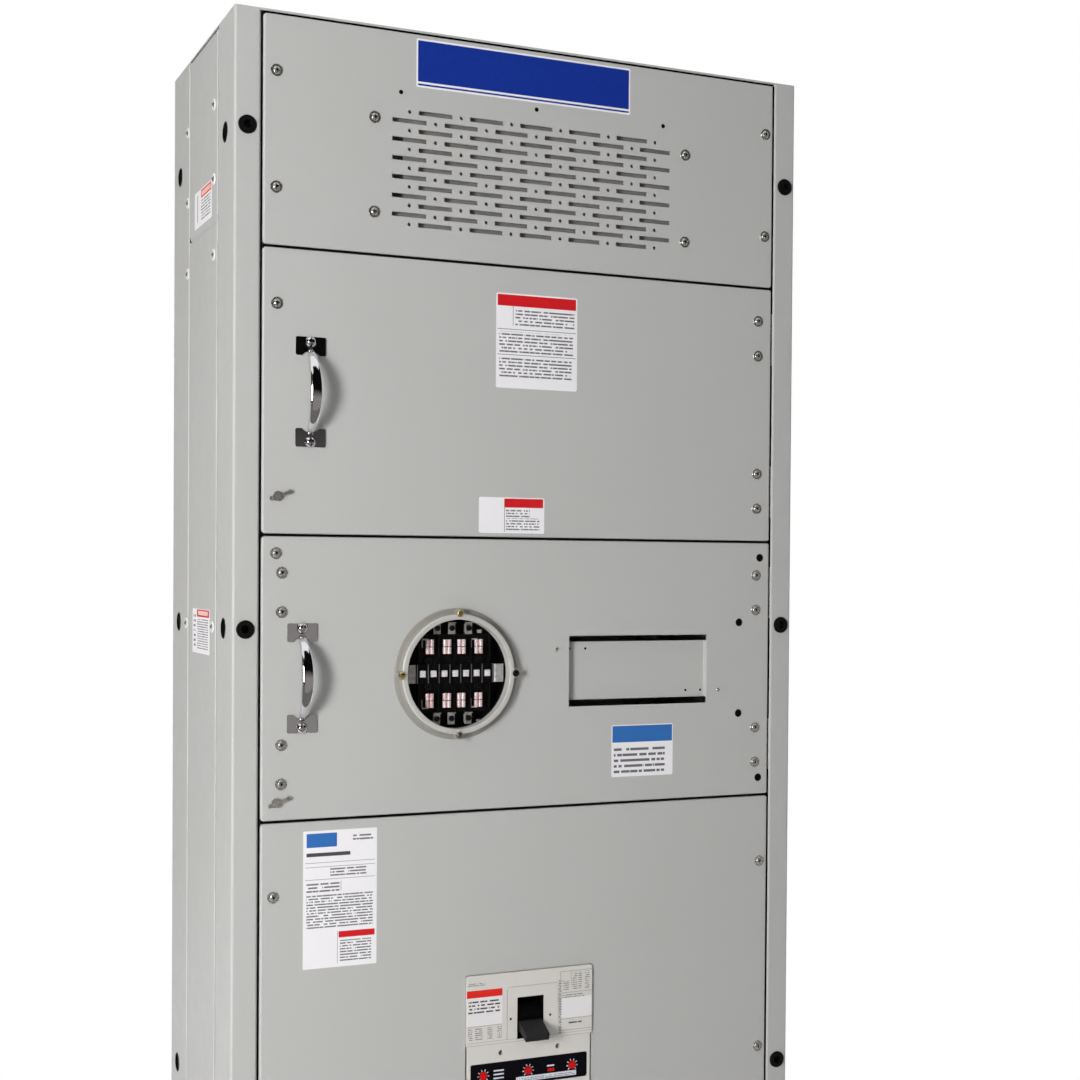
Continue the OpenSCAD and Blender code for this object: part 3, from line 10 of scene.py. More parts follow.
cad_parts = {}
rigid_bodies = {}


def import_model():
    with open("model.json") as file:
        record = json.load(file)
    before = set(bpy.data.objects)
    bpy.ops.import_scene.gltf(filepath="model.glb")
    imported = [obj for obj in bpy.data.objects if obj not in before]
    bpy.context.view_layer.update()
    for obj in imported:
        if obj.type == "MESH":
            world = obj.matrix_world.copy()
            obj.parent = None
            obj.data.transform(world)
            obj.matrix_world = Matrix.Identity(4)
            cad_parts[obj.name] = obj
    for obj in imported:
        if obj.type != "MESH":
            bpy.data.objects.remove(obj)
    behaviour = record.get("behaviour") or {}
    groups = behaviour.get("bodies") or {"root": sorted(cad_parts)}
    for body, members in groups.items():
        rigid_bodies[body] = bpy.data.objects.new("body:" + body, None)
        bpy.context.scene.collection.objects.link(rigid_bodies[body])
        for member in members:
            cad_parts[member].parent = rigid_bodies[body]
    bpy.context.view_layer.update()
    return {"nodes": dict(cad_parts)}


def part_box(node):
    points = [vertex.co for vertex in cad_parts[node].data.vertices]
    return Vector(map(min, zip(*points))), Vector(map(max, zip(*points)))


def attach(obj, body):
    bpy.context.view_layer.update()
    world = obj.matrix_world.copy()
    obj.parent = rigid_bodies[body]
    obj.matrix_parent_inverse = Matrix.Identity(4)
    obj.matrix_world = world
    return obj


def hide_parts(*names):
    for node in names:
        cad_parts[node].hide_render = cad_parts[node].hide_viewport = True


for leftover in list(bpy.data.objects):
    bpy.data.objects.remove(leftover)

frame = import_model()

MM = 0.001
FRONT = -0.2032
LEFT_SIDE = -0.4572
METER_AXIS = Vector((-0.122, FRONT, 1.3481))
BREAKER_FACE = FRONT - 4 * MM
TOGGLE_Z = 0.827
VENT_HOLE_Z = 2.1935
SIDE_HOLE_Y = (-0.1492, 0.1552)
SIDE_HOLE_Z = (0.7112, 1.4161, 2.1210)
LABEL_THICK = 0.25 * MM


# ---------------------------------------------------------------- finishes

def srgb(red, green, blue):
    """A colour written as 0 to 255 display values, as the shader wants it."""
    return tuple(c / 12.92 / 255 if c <= 10 else ((c / 255 + 0.055) / 1.055) ** 2.4
                 for c in (red, green, blue)) + (1.0,)


class Finish:
    """A principled material with the few nodes that every finish here is mixed from."""

    def __init__(self, name, colour, roughness, metallic=0.0, **sockets):
        self.material = bpy.data.materials.new(name)
        self.material.use_nodes = True
        self.tree = self.material.node_tree
        self.nodes, self.links = self.tree.nodes, self.tree.links
        self.shader = self.nodes["Principled BSDF"]
        self.shader.inputs["Base Color"].default_value = colour
        self.shader.inputs["Roughness"].default_value = roughness
        self.shader.inputs["Metallic"].default_value = metallic
        for socket, value in sockets.items():
            self.shader.inputs[socket.replace("_", " ")].default_value = value
        self.place = self.nodes.new("ShaderNodeTexCoord").outputs["Object"]
        self.colour = None
        self.base = colour

    def stretched(self, x, y, z):
        mapping = self.nodes.new("ShaderNodeMapping")
        mapping.inputs["Scale"].default_value = (x, y, z)
        self.links.new(self.place, mapping.inputs["Vector"])
        return mapping.outputs["Vector"]

    def noise(self, scale, detail=3.0, rough=0.55, vector=None):
        noise = self.nodes.new("ShaderNodeTexNoise")
        noise.inputs["Scale"].default_value = scale
        noise.inputs["Detail"].default_value = detail
        noise.inputs["Roughness"].default_value = rough
        self.links.new(vector or self.place, noise.inputs["Vector"])
        return noise.outputs["Fac"]

    def cells(self, scale):
        cells = self.nodes.new("ShaderNodeTexVoronoi")
        cells.inputs["Scale"].default_value = scale
        self.links.new(self.place, cells.inputs["Vector"])
        return cells.outputs["Distance"]

    def spread(self, value, low, high, out_low=0.0, out_high=1.0):
        spread = self.nodes.new("ShaderNodeMapRange")
        spread.inputs["From Min"].default_value = low
        spread.inputs["From Max"].default_value = high
        spread.inputs["To Min"].default_value = out_low
        spread.inputs["To Max"].default_value = out_high
        self.links.new(value, spread.inputs["Value"])
        return spread.outputs["Result"]

    def sum(self, *values, kind="ADD"):
        total = values[0]
        for value in values[1:]:
            adder = self.nodes.new("ShaderNodeMath")
            adder.operation = kind
            for socket, entry in zip(adder.inputs, (total, value)):
                if isinstance(entry, (int, float)):
                    socket.default_value = entry
                else:
                    self.links.new(entry, socket)
            total = adder.outputs[0]
        return total

    def tint(self, mask, colour):
        """Lays a colour over what is there, where the mask is 1."""
        mix = self.nodes.new("ShaderNodeMix")
        mix.data_type = "RGBA"
        if self.colour is None:
            mix.inputs["A"].default_value = self.base
        else:
            self.links.new(self.colour, mix.inputs["A"])
        mix.inputs["B"].default_value = colour
        self.links.new(mask, mix.inputs["Factor"])
        self.colour = mix.outputs["Result"]
        self.links.new(self.colour, self.shader.inputs["Base Color"])

    def roughness(self, value, low, high):
        self.links.new(self.spread(value, 0.3, 0.7, low, high), self.shader.inputs["Roughness"])

    def bump(self, height, strength, distance):
        bump = self.nodes.new("ShaderNodeBump")
        bump.inputs["Strength"].default_value = strength
        bump.inputs["Distance"].default_value = distance
        self.links.new(height, bump.inputs["Height"])
        if self.shader.inputs["Normal"].is_linked:
            before = self.shader.inputs["Normal"].links[0].from_socket
            self.links.new(before, bump.inputs["Normal"])
        self.links.new(bump.outputs["Normal"], self.shader.inputs["Normal"])

    def patch_mask(self, middle, size):
        """1 inside a box with this middle and size, 0 outside; a size of None runs on for ever."""
        mapping = self.nodes.new("ShaderNodeMapping")
        scale = [0.0 if s is None else 2.0 / s for s in size]
        mapping.inputs["Scale"].default_value = scale
        mapping.inputs["Location"].default_value = [-m * s for m, s in zip(middle, scale)]
        self.links.new(self.place, mapping.inputs["Vector"])
        folded = self.nodes.new("ShaderNodeVectorMath")
        folded.operation = "ABSOLUTE"
        self.links.new(mapping.outputs["Vector"], folded.inputs[0])
        parts = self.nodes.new("ShaderNodeSeparateXYZ")
        self.links.new(folded.outputs["Vector"], parts.inputs["Vector"])
        widest = self.sum(parts.outputs["X"], parts.outputs["Y"], parts.outputs["Z"],
                          kind="MAXIMUM")
        return self.sum(widest, 1.0, kind="LESS_THAN")

    def axes(self):
        parts = self.nodes.new("ShaderNodeSeparateXYZ")
        self.links.new(self.place, parts.inputs["Vector"])
        return parts.outputs

    def single(self, value, kind):
        """One of Math's functions of one value."""
        node = self.nodes.new("ShaderNodeMath")
        node.operation = kind
        self.links.new(value, node.inputs[0])
        return node.outputs[0]

    def rule_mask(self, pitch, width, start, along="X"):
        """Level rows, one each pitch up from start, broken into uneven dashes."""
        parts = self.axes()
        turns = self.sum(self.sum(parts["Z"], -start), 1.0 / pitch, kind="MULTIPLY")
        row = self.sum(self.single(turns, "FLOOR"), 5.37, kind="MULTIPLY")
        spot = self.nodes.new("ShaderNodeCombineXYZ")
        self.links.new(self.sum(parts[along.upper()], 1.1 / pitch, kind="MULTIPLY"),
                       spot.inputs["X"])
        self.links.new(row, spot.inputs["Y"])
        dashes = self.sum(self.noise(1.0, 1, vector=spot.outputs[0]), 0.42, kind="GREATER_THAN")
        rows = self.sum(self.single(turns, "FRACT"), width / pitch, kind="LESS_THAN")
        return self.sum(rows, dashes, kind="MULTIPLY")

    def round_mask(self, middle, radius):
        """1 further than radius from the front-to-back axis through middle."""
        parts = self.axes()
        flat = self.nodes.new("ShaderNodeCombineXYZ")
        self.links.new(self.sum(parts["X"], -middle[0]), flat.inputs["X"])
        self.links.new(self.sum(parts["Z"], -middle[2]), flat.inputs["Z"])
        reach = self.nodes.new("ShaderNodeVectorMath")
        reach.operation = "LENGTH"
        self.links.new(flat.outputs[0], reach.inputs[0])
        return self.sum(reach.outputs["Value"], radius, kind="GREATER_THAN")


def cabinet_powder_coat():
    f = Finish("cabinet_powder_coat", srgb(184, 184, 182), 0.5, IOR=1.45)
    clouds = f.noise(2.2, 3)
    f.tint(f.spread(clouds, 0.35, 0.7, 0.0, 0.3), srgb(178, 178, 175))
    specks = f.noise(2600, 1)
    f.tint(f.spread(specks, 0.62, 0.8, 0.0, 0.25), srgb(198, 198, 196))
    f.roughness(f.noise(38, 4), 0.44, 0.56)
    f.bump(f.noise(7, 2), 0.12, 0.0012)
    f.bump(f.noise(620, 2), 0.16, 0.0002)
    return f.material


def shaded_galvanised_baffle():
    """The dull sheet behind the slots, galvanised grey darkened further as painted shade for the
    shade behind the slots.
    """
    f = Finish("shaded_galvanised_baffle", srgb(148, 147, 143), 0.5, 0.1)
    f.tint(f.spread(f.cells(60), 0.2, 0.7, 0.0, 0.4), srgb(130, 129, 125))
    f.tint(f.spread(f.noise(320, 3, vector=f.stretched(0.1, 1, 1)), 0.45, 0.7, 0.0, 0.5),
           srgb(112, 111, 107))
    f.roughness(f.noise(150, 4), 0.42, 0.58)
    f.bump(f.noise(700, 3), 0.1, 0.0001)
    return f.material


def zinc_plate():
    f = Finish("zinc_plate", srgb(214, 213, 208), 0.24, 0.9)
    f.tint(f.spread(f.noise(240, 4), 0.45, 0.7, 0.0, 0.6), srgb(170, 169, 163))
    f.tint(f.spread(f.noise(90, 2), 0.52, 0.72, 0.0, 0.2), srgb(206, 198, 172))
    f.roughness(f.noise(700, 4), 0.16, 0.36)
    f.bump(f.noise(1500, 3, vector=f.stretched(1, 1, 0.15)), 0.25, 0.0001)
    return f.material


def side_zinc_painted_sheen():
    """Paler, less metallic plating on the sides' fittings: a painted sheen standing in for their
    bright reflection.
    """
    f = Finish("side_zinc_painted_sheen", srgb(238, 238, 236), 0.34, 0.15)
    f.tint(f.spread(f.noise(260, 4), 0.5, 0.75, 0.0, 0.6), srgb(212, 211, 206))
    f.roughness(f.noise(700, 4), 0.26, 0.44)
    f.bump(f.noise(1500, 3), 0.2, 0.0001)
    return f.material


def bead_painted_highlight():
    """The powder coat on a rolled edge, painted paler: a painted highlight along the edge."""
    f = Finish("bead_painted_highlight", srgb(216, 216, 213), 0.42, IOR=1.45)
    f.tint(f.spread(f.noise(30, 3), 0.4, 0.7, 0.0, 0.4), srgb(204, 204, 200))
    f.roughness(f.noise(80, 4), 0.36, 0.5)
    f.bump(f.noise(620, 2), 0.14, 0.0002)
    return f.material


def ring_screw_plate():
    """Yellow zinc at the top and left, plain steel at the bottom and near black at the right."""
    f = Finish("ring_screw_plate", srgb(214, 196, 142), 0.3, 1.0)
    f.tint(f.spread(f.noise(320, 3), 0.42, 0.7, 0.0, 0.8), srgb(168, 150, 102))
    x, z = METER_AXIS.x, METER_AXIS.z
    f.tint(f.patch_mask((x, 0, z - 0.09), (0.1, None, 0.04)), srgb(150, 148, 142))
    f.tint(f.patch_mask((x + 0.09, 0, z), (0.04, None, 0.1)), srgb(58, 56, 52))
    f.roughness(f.noise(900, 3), 0.2, 0.42)
    f.bump(f.noise(1800, 2), 0.2, 0.0001)
    return f.material


def cover_screw_plate():
    f = Finish("cover_screw_plate", srgb(150, 128, 84), 0.36, 1.0)
    f.tint(f.spread(f.noise(320, 3), 0.42, 0.7, 0.0, 0.8), srgb(96, 80, 52))
    f.roughness(f.noise(900, 3), 0.24, 0.46)
    f.bump(f.noise(1800, 2), 0.2, 0.0001)
    return f.material


def polished_chrome():
    f = Finish("polished_chrome", srgb(226, 226, 229), 0.07, 1.0)
    f.tint(f.spread(f.noise(60, 4), 0.5, 0.75, 0.0, 0.5), srgb(204, 204, 208))
    f.roughness(f.noise(150, 5, 0.65), 0.04, 0.12)
    f.bump(f.noise(1200, 2, vector=f.stretched(1, 1, 0.08)), 0.04, 0.00005)
    return f.material


def bushing_rubber():
    f = Finish("bushing_rubber", srgb(12, 12, 12), 0.6, Specular_IOR_Level=0.15)
    f.tint(f.spread(f.noise(180, 4), 0.5, 0.75, 0.0, 0.5), srgb(24, 24, 23))
    f.roughness(f.noise(320, 3), 0.5, 0.7)
    f.bump(f.noise(1400, 3), 0.3, 0.0002)
    return f.material


def black_edge_painted_highlight():
    """Black moulding painted a little paler on the thin edges inside the socket: a painted
    highlight along those edges.
    """
    f = Finish("black_edge_painted_highlight", srgb(92, 92, 94), 0.4)
    f.tint(f.spread(f.noise(140, 4), 0.42, 0.68, 0.0, 0.8), srgb(58, 58, 60))
    f.roughness(f.noise(420, 3), 0.32, 0.5)
    f.bump(f.noise(1200, 2), 0.2, 0.0001)
    return f.material


def case_colour(name):
    """The breaker's off-white moulding."""
    f = Finish(name, srgb(210, 207, 202), 0.5, IOR=1.5)
    f.tint(f.spread(f.noise(26, 3), 0.42, 0.7, 0.0, 0.4), srgb(203, 200, 193))
    f.roughness(f.noise(420, 3), 0.42, 0.58)
    f.bump(f.noise(1900, 2), 0.2, 0.00015)
    return f


def breaker_moulding():
    return case_colour("breaker_moulding").material


def breaker_cover_moulding():
    """The moulding with its printed front and painted shade lines along its steps, and the
    toggle's opening and the cavity behind it painted black as painted shade.
    """
    f = case_colour("breaker_cover_moulding")
    for kind, x0, x1, z0, z1, mark_colour, *pitch in COVER_PRINT_AND_SHADE:
        mask = f.patch_mask(((x0 + x1) / 2 * MM, BREAKER_FACE - 0.5 * MM, (z0 + z1) / 2 * MM),
                            ((x1 - x0) * MM, 2 * MM, (z1 - z0) * MM))
        if kind == "rows":
            rows = f.rule_mask(pitch[0] * MM, pitch[0] * 0.45 * MM, z0 * MM)
            mask = f.sum(mask, rows, kind="MULTIPLY")
        f.tint(mask, mark_colour)
    # painted shade: the cavity behind the toggle, the toggle's well and the two small openings
    # beside it are painted black
    well, behind = BREAKER_FACE + 15.3 * MM, BREAKER_FACE + 42.5 * MM
    black = srgb(4, 4, 4)
    f.tint(f.patch_mask((0, behind, TOGGLE_Z), (66 * MM, 80 * MM, 112 * MM)), black)
    f.tint(f.patch_mask((0, well, TOGGLE_Z), (44.6 * MM, 30 * MM, 64 * MM)), black)
    for x in (-32.5, 32.5):
        f.tint(f.patch_mask((x * MM, well, TOGGLE_Z), (4 * MM, 32 * MM, 5 * MM)), srgb(8, 7, 7))
    return f.material


def toggle_moulding():
    f = Finish("toggle_moulding", srgb(38, 37, 38), 0.5, Specular_IOR_Level=0.15)
    f.tint(f.spread(f.noise(150, 4), 0.5, 0.75, 0.0, 0.4), srgb(46, 46, 45))
    # painted shade: the shutter and all else of the toggle behind the cover's face are painted
    # near black
    f.tint(f.patch_mask((0, BREAKER_FACE + 50.4 * MM, TOGGLE_Z), (None, 100 * MM, None)),
           srgb(3, 3, 3))
    f.roughness(f.noise(500, 3), 0.44, 0.6)
    f.bump(f.noise(1700, 2), 0.3, 0.00015)
    return f.material


def socket_phenolic():
    f = Finish("socket_phenolic", srgb(9, 9, 10), 0.5, Specular_IOR_Level=0.2)
    f.tint(f.spread(f.noise(90, 4), 0.5, 0.75, 0.0, 0.45), srgb(30, 29, 29))
    f.roughness(f.noise(260, 4), 0.36, 0.58)
    f.bump(f.noise(900, 3), 0.25, 0.0002)
    return f.material


def trip_face_panel():
    f = Finish("trip_face_panel", srgb(6, 6, 13), 0.5, Specular_IOR_Level=0.12)
    f.tint(f.spread(f.noise(130, 4), 0.5, 0.78, 0.0, 0.35), srgb(12, 13, 22))
    f.roughness(f.noise(520, 3), 0.44, 0.58)
    f.bump(f.noise(2000, 2), 0.08, 0.0001)
    return f.material


def dial_red():
    f = Finish("dial_red", srgb(205, 8, 10), 0.4, Specular_IOR_Level=0.3)
    f.tint(f.spread(f.noise(400, 3), 0.45, 0.75, 0.0, 0.5), srgb(176, 4, 8))
    f.roughness(f.noise(900, 3), 0.34, 0.5)
    f.bump(f.noise(2400, 2), 0.15, 0.0001)
    return f.material


def bus_copper():
    f = Finish("bus_copper", srgb(202, 138, 106), 0.32, 1.0)
    f.tint(f.spread(f.noise(9, 5, 0.65), 0.45, 0.72, 0.0, 0.75), srgb(150, 92, 66))
    f.tint(f.spread(f.noise(60, 4), 0.55, 0.75, 0.0, 0.5), srgb(104, 70, 56))
    f.roughness(f.noise(40, 5), 0.24, 0.46)
    f.bump(f.noise(900, 3, vector=f.stretched(1, 1, 0.03)), 0.25, 0.0001)
    return f.material


def tin_plate():
    f = Finish("tin_plate", srgb(206, 205, 200), 0.34, 1.0)
    f.tint(f.spread(f.noise(70, 5), 0.45, 0.72, 0.0, 0.7), srgb(164, 163, 158))
    f.roughness(f.noise(200, 4), 0.24, 0.46)
    f.bump(f.noise(800, 3), 0.25, 0.00015)
    return f.material


def jaw_plate():
    """Silvered copper: bright, with the copper showing through in streaks."""
    f = Finish("jaw_plate", srgb(236, 218, 218), 0.3, 0.4)
    f.tint(f.spread(f.noise(150, 3, vector=f.stretched(1, 1, 0.12)), 0.45, 0.68, 0.0, 0.7),
           srgb(206, 150, 152))
    f.roughness(f.noise(500, 3), 0.22, 0.38)
    f.bump(f.noise(1400, 2, vector=f.stretched(1, 1, 0.1)), 0.15, 0.0001)
    return f.material


def terminal_silver():
    f = Finish("terminal_silver", srgb(238, 234, 232), 0.3, 0.25)
    f.tint(f.spread(f.noise(210, 3), 0.45, 0.7, 0.0, 0.6), srgb(206, 196, 194))
    f.roughness(f.noise(500, 3), 0.22, 0.38)
    f.bump(f.noise(1400, 2), 0.15, 0.0001)
    return f.material


def lug_steel():
    f = Finish("lug_steel", srgb(186, 184, 182), 0.3, 0.5)
    f.tint(f.spread(f.noise(160, 4), 0.45, 0.7, 0.0, 0.7), srgb(134, 132, 130))
    f.roughness(f.noise(420, 4), 0.24, 0.44)
    f.bump(f.noise(1300, 2), 0.2, 0.0001)
    return f.material


def lug_screw_steel():
    f = Finish("lug_screw_steel", srgb(62, 61, 60), 0.34, 1.0)
    f.tint(f.spread(f.noise(260, 4), 0.45, 0.7, 0.0, 0.7), srgb(34, 33, 33))
    f.roughness(f.noise(500, 3), 0.26, 0.46)
    f.bump(f.noise(1500, 2), 0.2, 0.0001)
    return f.material


def ring_casting():
    f = Finish("ring_casting", srgb(206, 205, 200), 0.42, 0.3)
    f.tint(f.spread(f.noise(45, 4), 0.45, 0.72, 0.0, 0.5), srgb(188, 187, 181))
    f.tint(f.round_mask(METER_AXIS, 88.6 * MM), srgb(158, 155, 149))
    f.roughness(f.noise(300, 4), 0.32, 0.52)
    f.bump(f.noise(1500, 3), 0.35, 0.0002)
    return f.material


def insulator_polyester():
    f = Finish("insulator_polyester", srgb(166, 54, 40), 0.42)
    f.tint(f.spread(f.noise(120, 4), 0.45, 0.72, 0.0, 0.6), srgb(128, 36, 28))
    f.roughness(f.noise(400, 3), 0.34, 0.52)
    f.bump(f.noise(1300, 3), 0.25, 0.0002)
    return f.material


INK = srgb(74, 72, 76)
FAINT_INK = srgb(126, 124, 128)
FIELD_WHITE = srgb(226, 224, 224)

# what is printed on the breaker's front, and painted shade lines along its steps: kind, x from,
# to, z from, to in mm, colour, row pitch
COVER_PRINT_AND_SHADE = [
    ("box", -103.5, -46, 822, 864, FIELD_WHITE),
    ("box", -103.5, -46, 864, 875, srgb(222, 26, 12)),
    ("rows", -101, -50, 841, 861, INK, 5.2),
    ("rows", -102, -74, 882, 887, FAINT_INK, 2.6),
    ("box", -103, -46, 820.6, 821.2, FAINT_INK),
    ("rows", -101, -94, 801, 818, FAINT_INK, 3.1),
    ("rows", -90, -78, 801, 819, FAINT_INK, 3.1),
    ("rows", -70, -62, 801, 819, FAINT_INK, 3.1),
    ("rows", -54, -47, 801, 819, FAINT_INK, 3.1),
    ("rows", 47.2, 51.6, 797, 878, INK, 2.5),
    ("box", 49.6, 102.5, 890.2, 890.8, FAINT_INK),
    ("box", 49.6, 50.2, 878, 890.5, FAINT_INK),
    ("box", 67.5, 68.1, 866, 890, FAINT_INK),
    ("rows", 70, 78, 862, 888, FAINT_INK, 3.2),
    ("rows", 80, 86, 862, 888, FAINT_INK, 3.2),
    ("rows", 91, 99, 862, 888, FAINT_INK, 3.2),
    ("rows", 54, 64, 862, 876, FAINT_INK, 3.2),
    ("box", 52, 102.5, 857.6, 858.2, FAINT_INK),
    ("rows", 53, 90, 850, 856.5, FAINT_INK, 3.2),
    ("box", 52, 102.5, 819, 850, FIELD_WHITE),
    ("box", 52, 102.5, 817.6, 818.2, FAINT_INK),
    ("rows", 64, 86, 810, 815.4, INK, 5.2),
    ("box", 52, 102.5, 800, 800.6, FAINT_INK),
    # the last four rows are no print: painted shade lines along the steps at the cover's foot and
    # along the left and top edges of the raised field round the toggle
    ("box", -103.5, 103.5, 791.4, 792.4, srgb(120, 116, 112)),
    ("box", -103.5, 103.5, 796.2, 796.8, srgb(160, 156, 152)),
    ("box", -38.4, -37.2, 797, 872, srgb(158, 154, 150)),
    ("box", -37.5, 45.5, 874.6, 875.4, srgb(176, 173, 168)),
]

finishes = {
    "cabinet_paint": cabinet_powder_coat(),
    "zinc": zinc_plate(),
    "chrome": polished_chrome(),
    "black_rubber": bushing_rubber(),
    "case": breaker_moulding(),
    "black_plastic": toggle_moulding(),
    "trip_face": trip_face_panel(),
    "red_plastic": dial_red(),
    "copper": bus_copper(),
    "tinned": tin_plate(),
    "ring": ring_casting(),
    "insulator": insulator_polyester(),
}
printed_and_shaded_moulding = breaker_cover_moulding()
special_finish = {
    "socket_block": socket_phenolic(),
    "meter_ring_screws": ring_screw_plate(),
    "breaker_screws": cover_screw_plate(),
    "breaker_cover": printed_and_shaded_moulding,
    "breaker_case": printed_and_shaded_moulding,
    "socket_jaws": jaw_plate(),
    "vent_baffle": shaded_galvanised_baffle(),
}
for name, node in frame["nodes"].items():
    for slot in node.material_slots:
        slot.material = special_finish.get(name) or finishes[slot.material.name.split(".")[0]]


# ---------------------------------------------------------------- labels and prints

FACING_FRONT = Matrix.Rotation(math.radians(90), 4, "X")
FACING_LEFT = Matrix.Rotation(math.radians(-90), 4, "Z") @ FACING_FRONT
FACING_BACK = Matrix.Rotation(math.pi, 4, "Z") @ FACING_FRONT
FACING_RIGHT = Matrix.Rotation(math.radians(90), 4, "Z") @ FACING_FRONT


class Workpiece:
    """One piece, put together from shapes that are each made, turned outwards and taken in."""

    def __init__(self, name):
        self.name = name
        self.bm = bmesh.new()

    def take(self, shape, place=None):
        if place is not None:
            bmesh.ops.transform(shape, matrix=place, verts=shape.verts)
        bmesh.ops.remove_doubles(shape, verts=shape.verts, dist=0.002 * MM)
        bmesh.ops.recalc_face_normals(shape, faces=shape.faces)
        part = bpy.data.meshes.new("part")
        shape.to_mesh(part)
        shape.free()
        self.bm.from_mesh(part)
        bpy.data.meshes.remove(part)

    def block(self, low, high, ease):
        """A block between two corners, with its edges eased."""
        shape = bmesh.new()
        low, high = Vector(low), Vector(high)
        bmesh.ops.create_cube(shape, size=1, matrix=Matrix.Translation((low + high) / 2)
                              @ Matrix.Diagonal((*(high - low), 1)))
        if ease:
            bmesh.ops.bevel(shape, geom=shape.edges[:], offset=ease, segments=2, profile=0.5,
                            affect="EDGES", material=-1)
        self.take(shape)

    def turned(self, profile, place, steps=32):
        """Spins (radius, height) points about the upright axis, then sets the shape in place."""
        shape = bmesh.new()
        points = [shape.verts.new((radius, 0, height)) for radius, height in profile]
        lines = [shape.edges.new(pair) for pair in zip(points, points[1:])]
        bmesh.ops.spin(shape, geom=points + lines, cent=(0, 0, 0), axis=(0, 0, 1),
                       angle=math.tau, steps=steps, use_merge=True)
        self.take(shape, place)

    def bent_strip(self, path, thick, low, high, place=None):
        """A strip along a path seen from above, standing from low to high."""
        shape = bmesh.new()
        points = [shape.verts.new((x, y, low)) for x, y in path]
        lines = [shape.edges.new(pair) for pair in zip(points, points[1:])]
        raised = bmesh.ops.extrude_edge_only(shape, edges=lines)["geom"]
        bmesh.ops.translate(shape, vec=(0, 0, high - low),
                            verts=[v for v in raised if isinstance(v, bmesh.types.BMVert)])
        bmesh.ops.recalc_face_normals(shape, faces=shape.faces)
        bmesh.ops.solidify(shape, geom=shape.faces[:], thickness=thick)
        self.take(shape, place)

    def card(self, across, up, corner, thick, place):
        """A thin plate with round corners, made flat and then set in place, front up."""
        shape = bmesh.new()
        corners = bmesh.ops.create_grid(shape, x_segments=1, y_segments=1, size=0.5,
                                        matrix=Matrix.Diagonal((across, up, 1, 1)))["verts"]
        if corner:
            bmesh.ops.bevel(shape, geom=corners, offset=corner, segments=4, profile=0.5,
                            affect="VERTICES", material=-1)
        lifted = bmesh.ops.extrude_face_region(shape, geom=shape.faces[:])["geom"]
        bmesh.ops.translate(shape, vec=(0, 0, thick),
                            verts=[v for v in lifted if isinstance(v, bmesh.types.BMVert)])
        self.take(shape, place)

    def finish(self, material, body, smooth=None):
        """Makes the piece, which rides on its body; smooth is the sharpest angle shaded round."""
        mesh = bpy.data.meshes.new(self.name)
        self.bm.to_mesh(mesh)
        self.bm.free()
        mesh.materials.append(material)
        if smooth:
            mesh.shade_smooth()
            mesh.set_sharp_from_angle(angle=math.radians(smooth))
        piece = bpy.data.objects.new(self.name, mesh)
        bpy.context.scene.collection.objects.link(piece)
        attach(piece, body)


def at(x, y, z, facing=FACING_FRONT):
    return Matrix.Translation((x, y, z)) @ facing


def arc(centre, radius, start, end):
    """Points of an arc in plan, with its angles in degrees."""
    steps = 8
    turns = [math.radians(start + (end - start) * i / steps) for i in range(steps + 1)]
    return [(centre[0] + radius * math.cos(t), centre[1] + radius * math.sin(t)) for t in turns]


def front_card(name, x0, x1, z0, z1, material, body, corner=2.5 * MM):
    card = Workpiece(name)
    card.card(x1 - x0, z1 - z0, corner, LABEL_THICK, at((x0 + x1) / 2, FRONT, (z0 + z1) / 2))
    card.finish(material, body)


def side_card(name, y0, y1, z0, z1, material, body):
    card = Workpiece(name)
    card.card(y1 - y0, z1 - z0, 1.5 * MM, LABEL_THICK,
              at(LEFT_SIDE, (y0 + y1) / 2, (z0 + z1) / 2, FACING_LEFT))
    card.finish(material, body)


LABEL_WHITE = srgb(236, 234, 236)
LABEL_BLUE = srgb(0, 44, 145)
LABEL_SKY = srgb(44, 106, 178)
LABEL_RED = srgb(206, 16, 26)
PRINT_GREY = srgb(104, 102, 108)
PRINT_DARK = srgb(70, 68, 74)


def label_stock(name, colour, patches, along="x"):
    """Vinyl label printed with patches: (kind, across from, to, up from, to, colour[, pitch])."""
    f = Finish(name, colour, 0.48, Specular_IOR_Level=0.35)
    for kind, a0, a1, z0, z1, mark_colour, *pitch in patches:
        middle = [0, 0, (z0 + z1) / 2]
        size = [None, None, z1 - z0]
        middle["xyz".index(along)] = (a0 + a1) / 2
        size["xyz".index(along)] = a1 - a0
        mask = f.patch_mask(middle, size)
        if kind == "rules":
            rows = f.rule_mask(pitch[0], pitch[0] * 0.45, z0, along)
            mask = f.sum(mask, rows, kind="MULTIPLY")
        f.tint(mask, mark_colour)
    f.tint(f.spread(f.noise(900, 3), 0.5, 0.9, 0.0, 0.08), srgb(196, 194, 190))
    f.roughness(f.noise(240, 3), 0.4, 0.54)
    f.bump(f.noise(500, 2), 0.08, 0.0001)
    return f.material


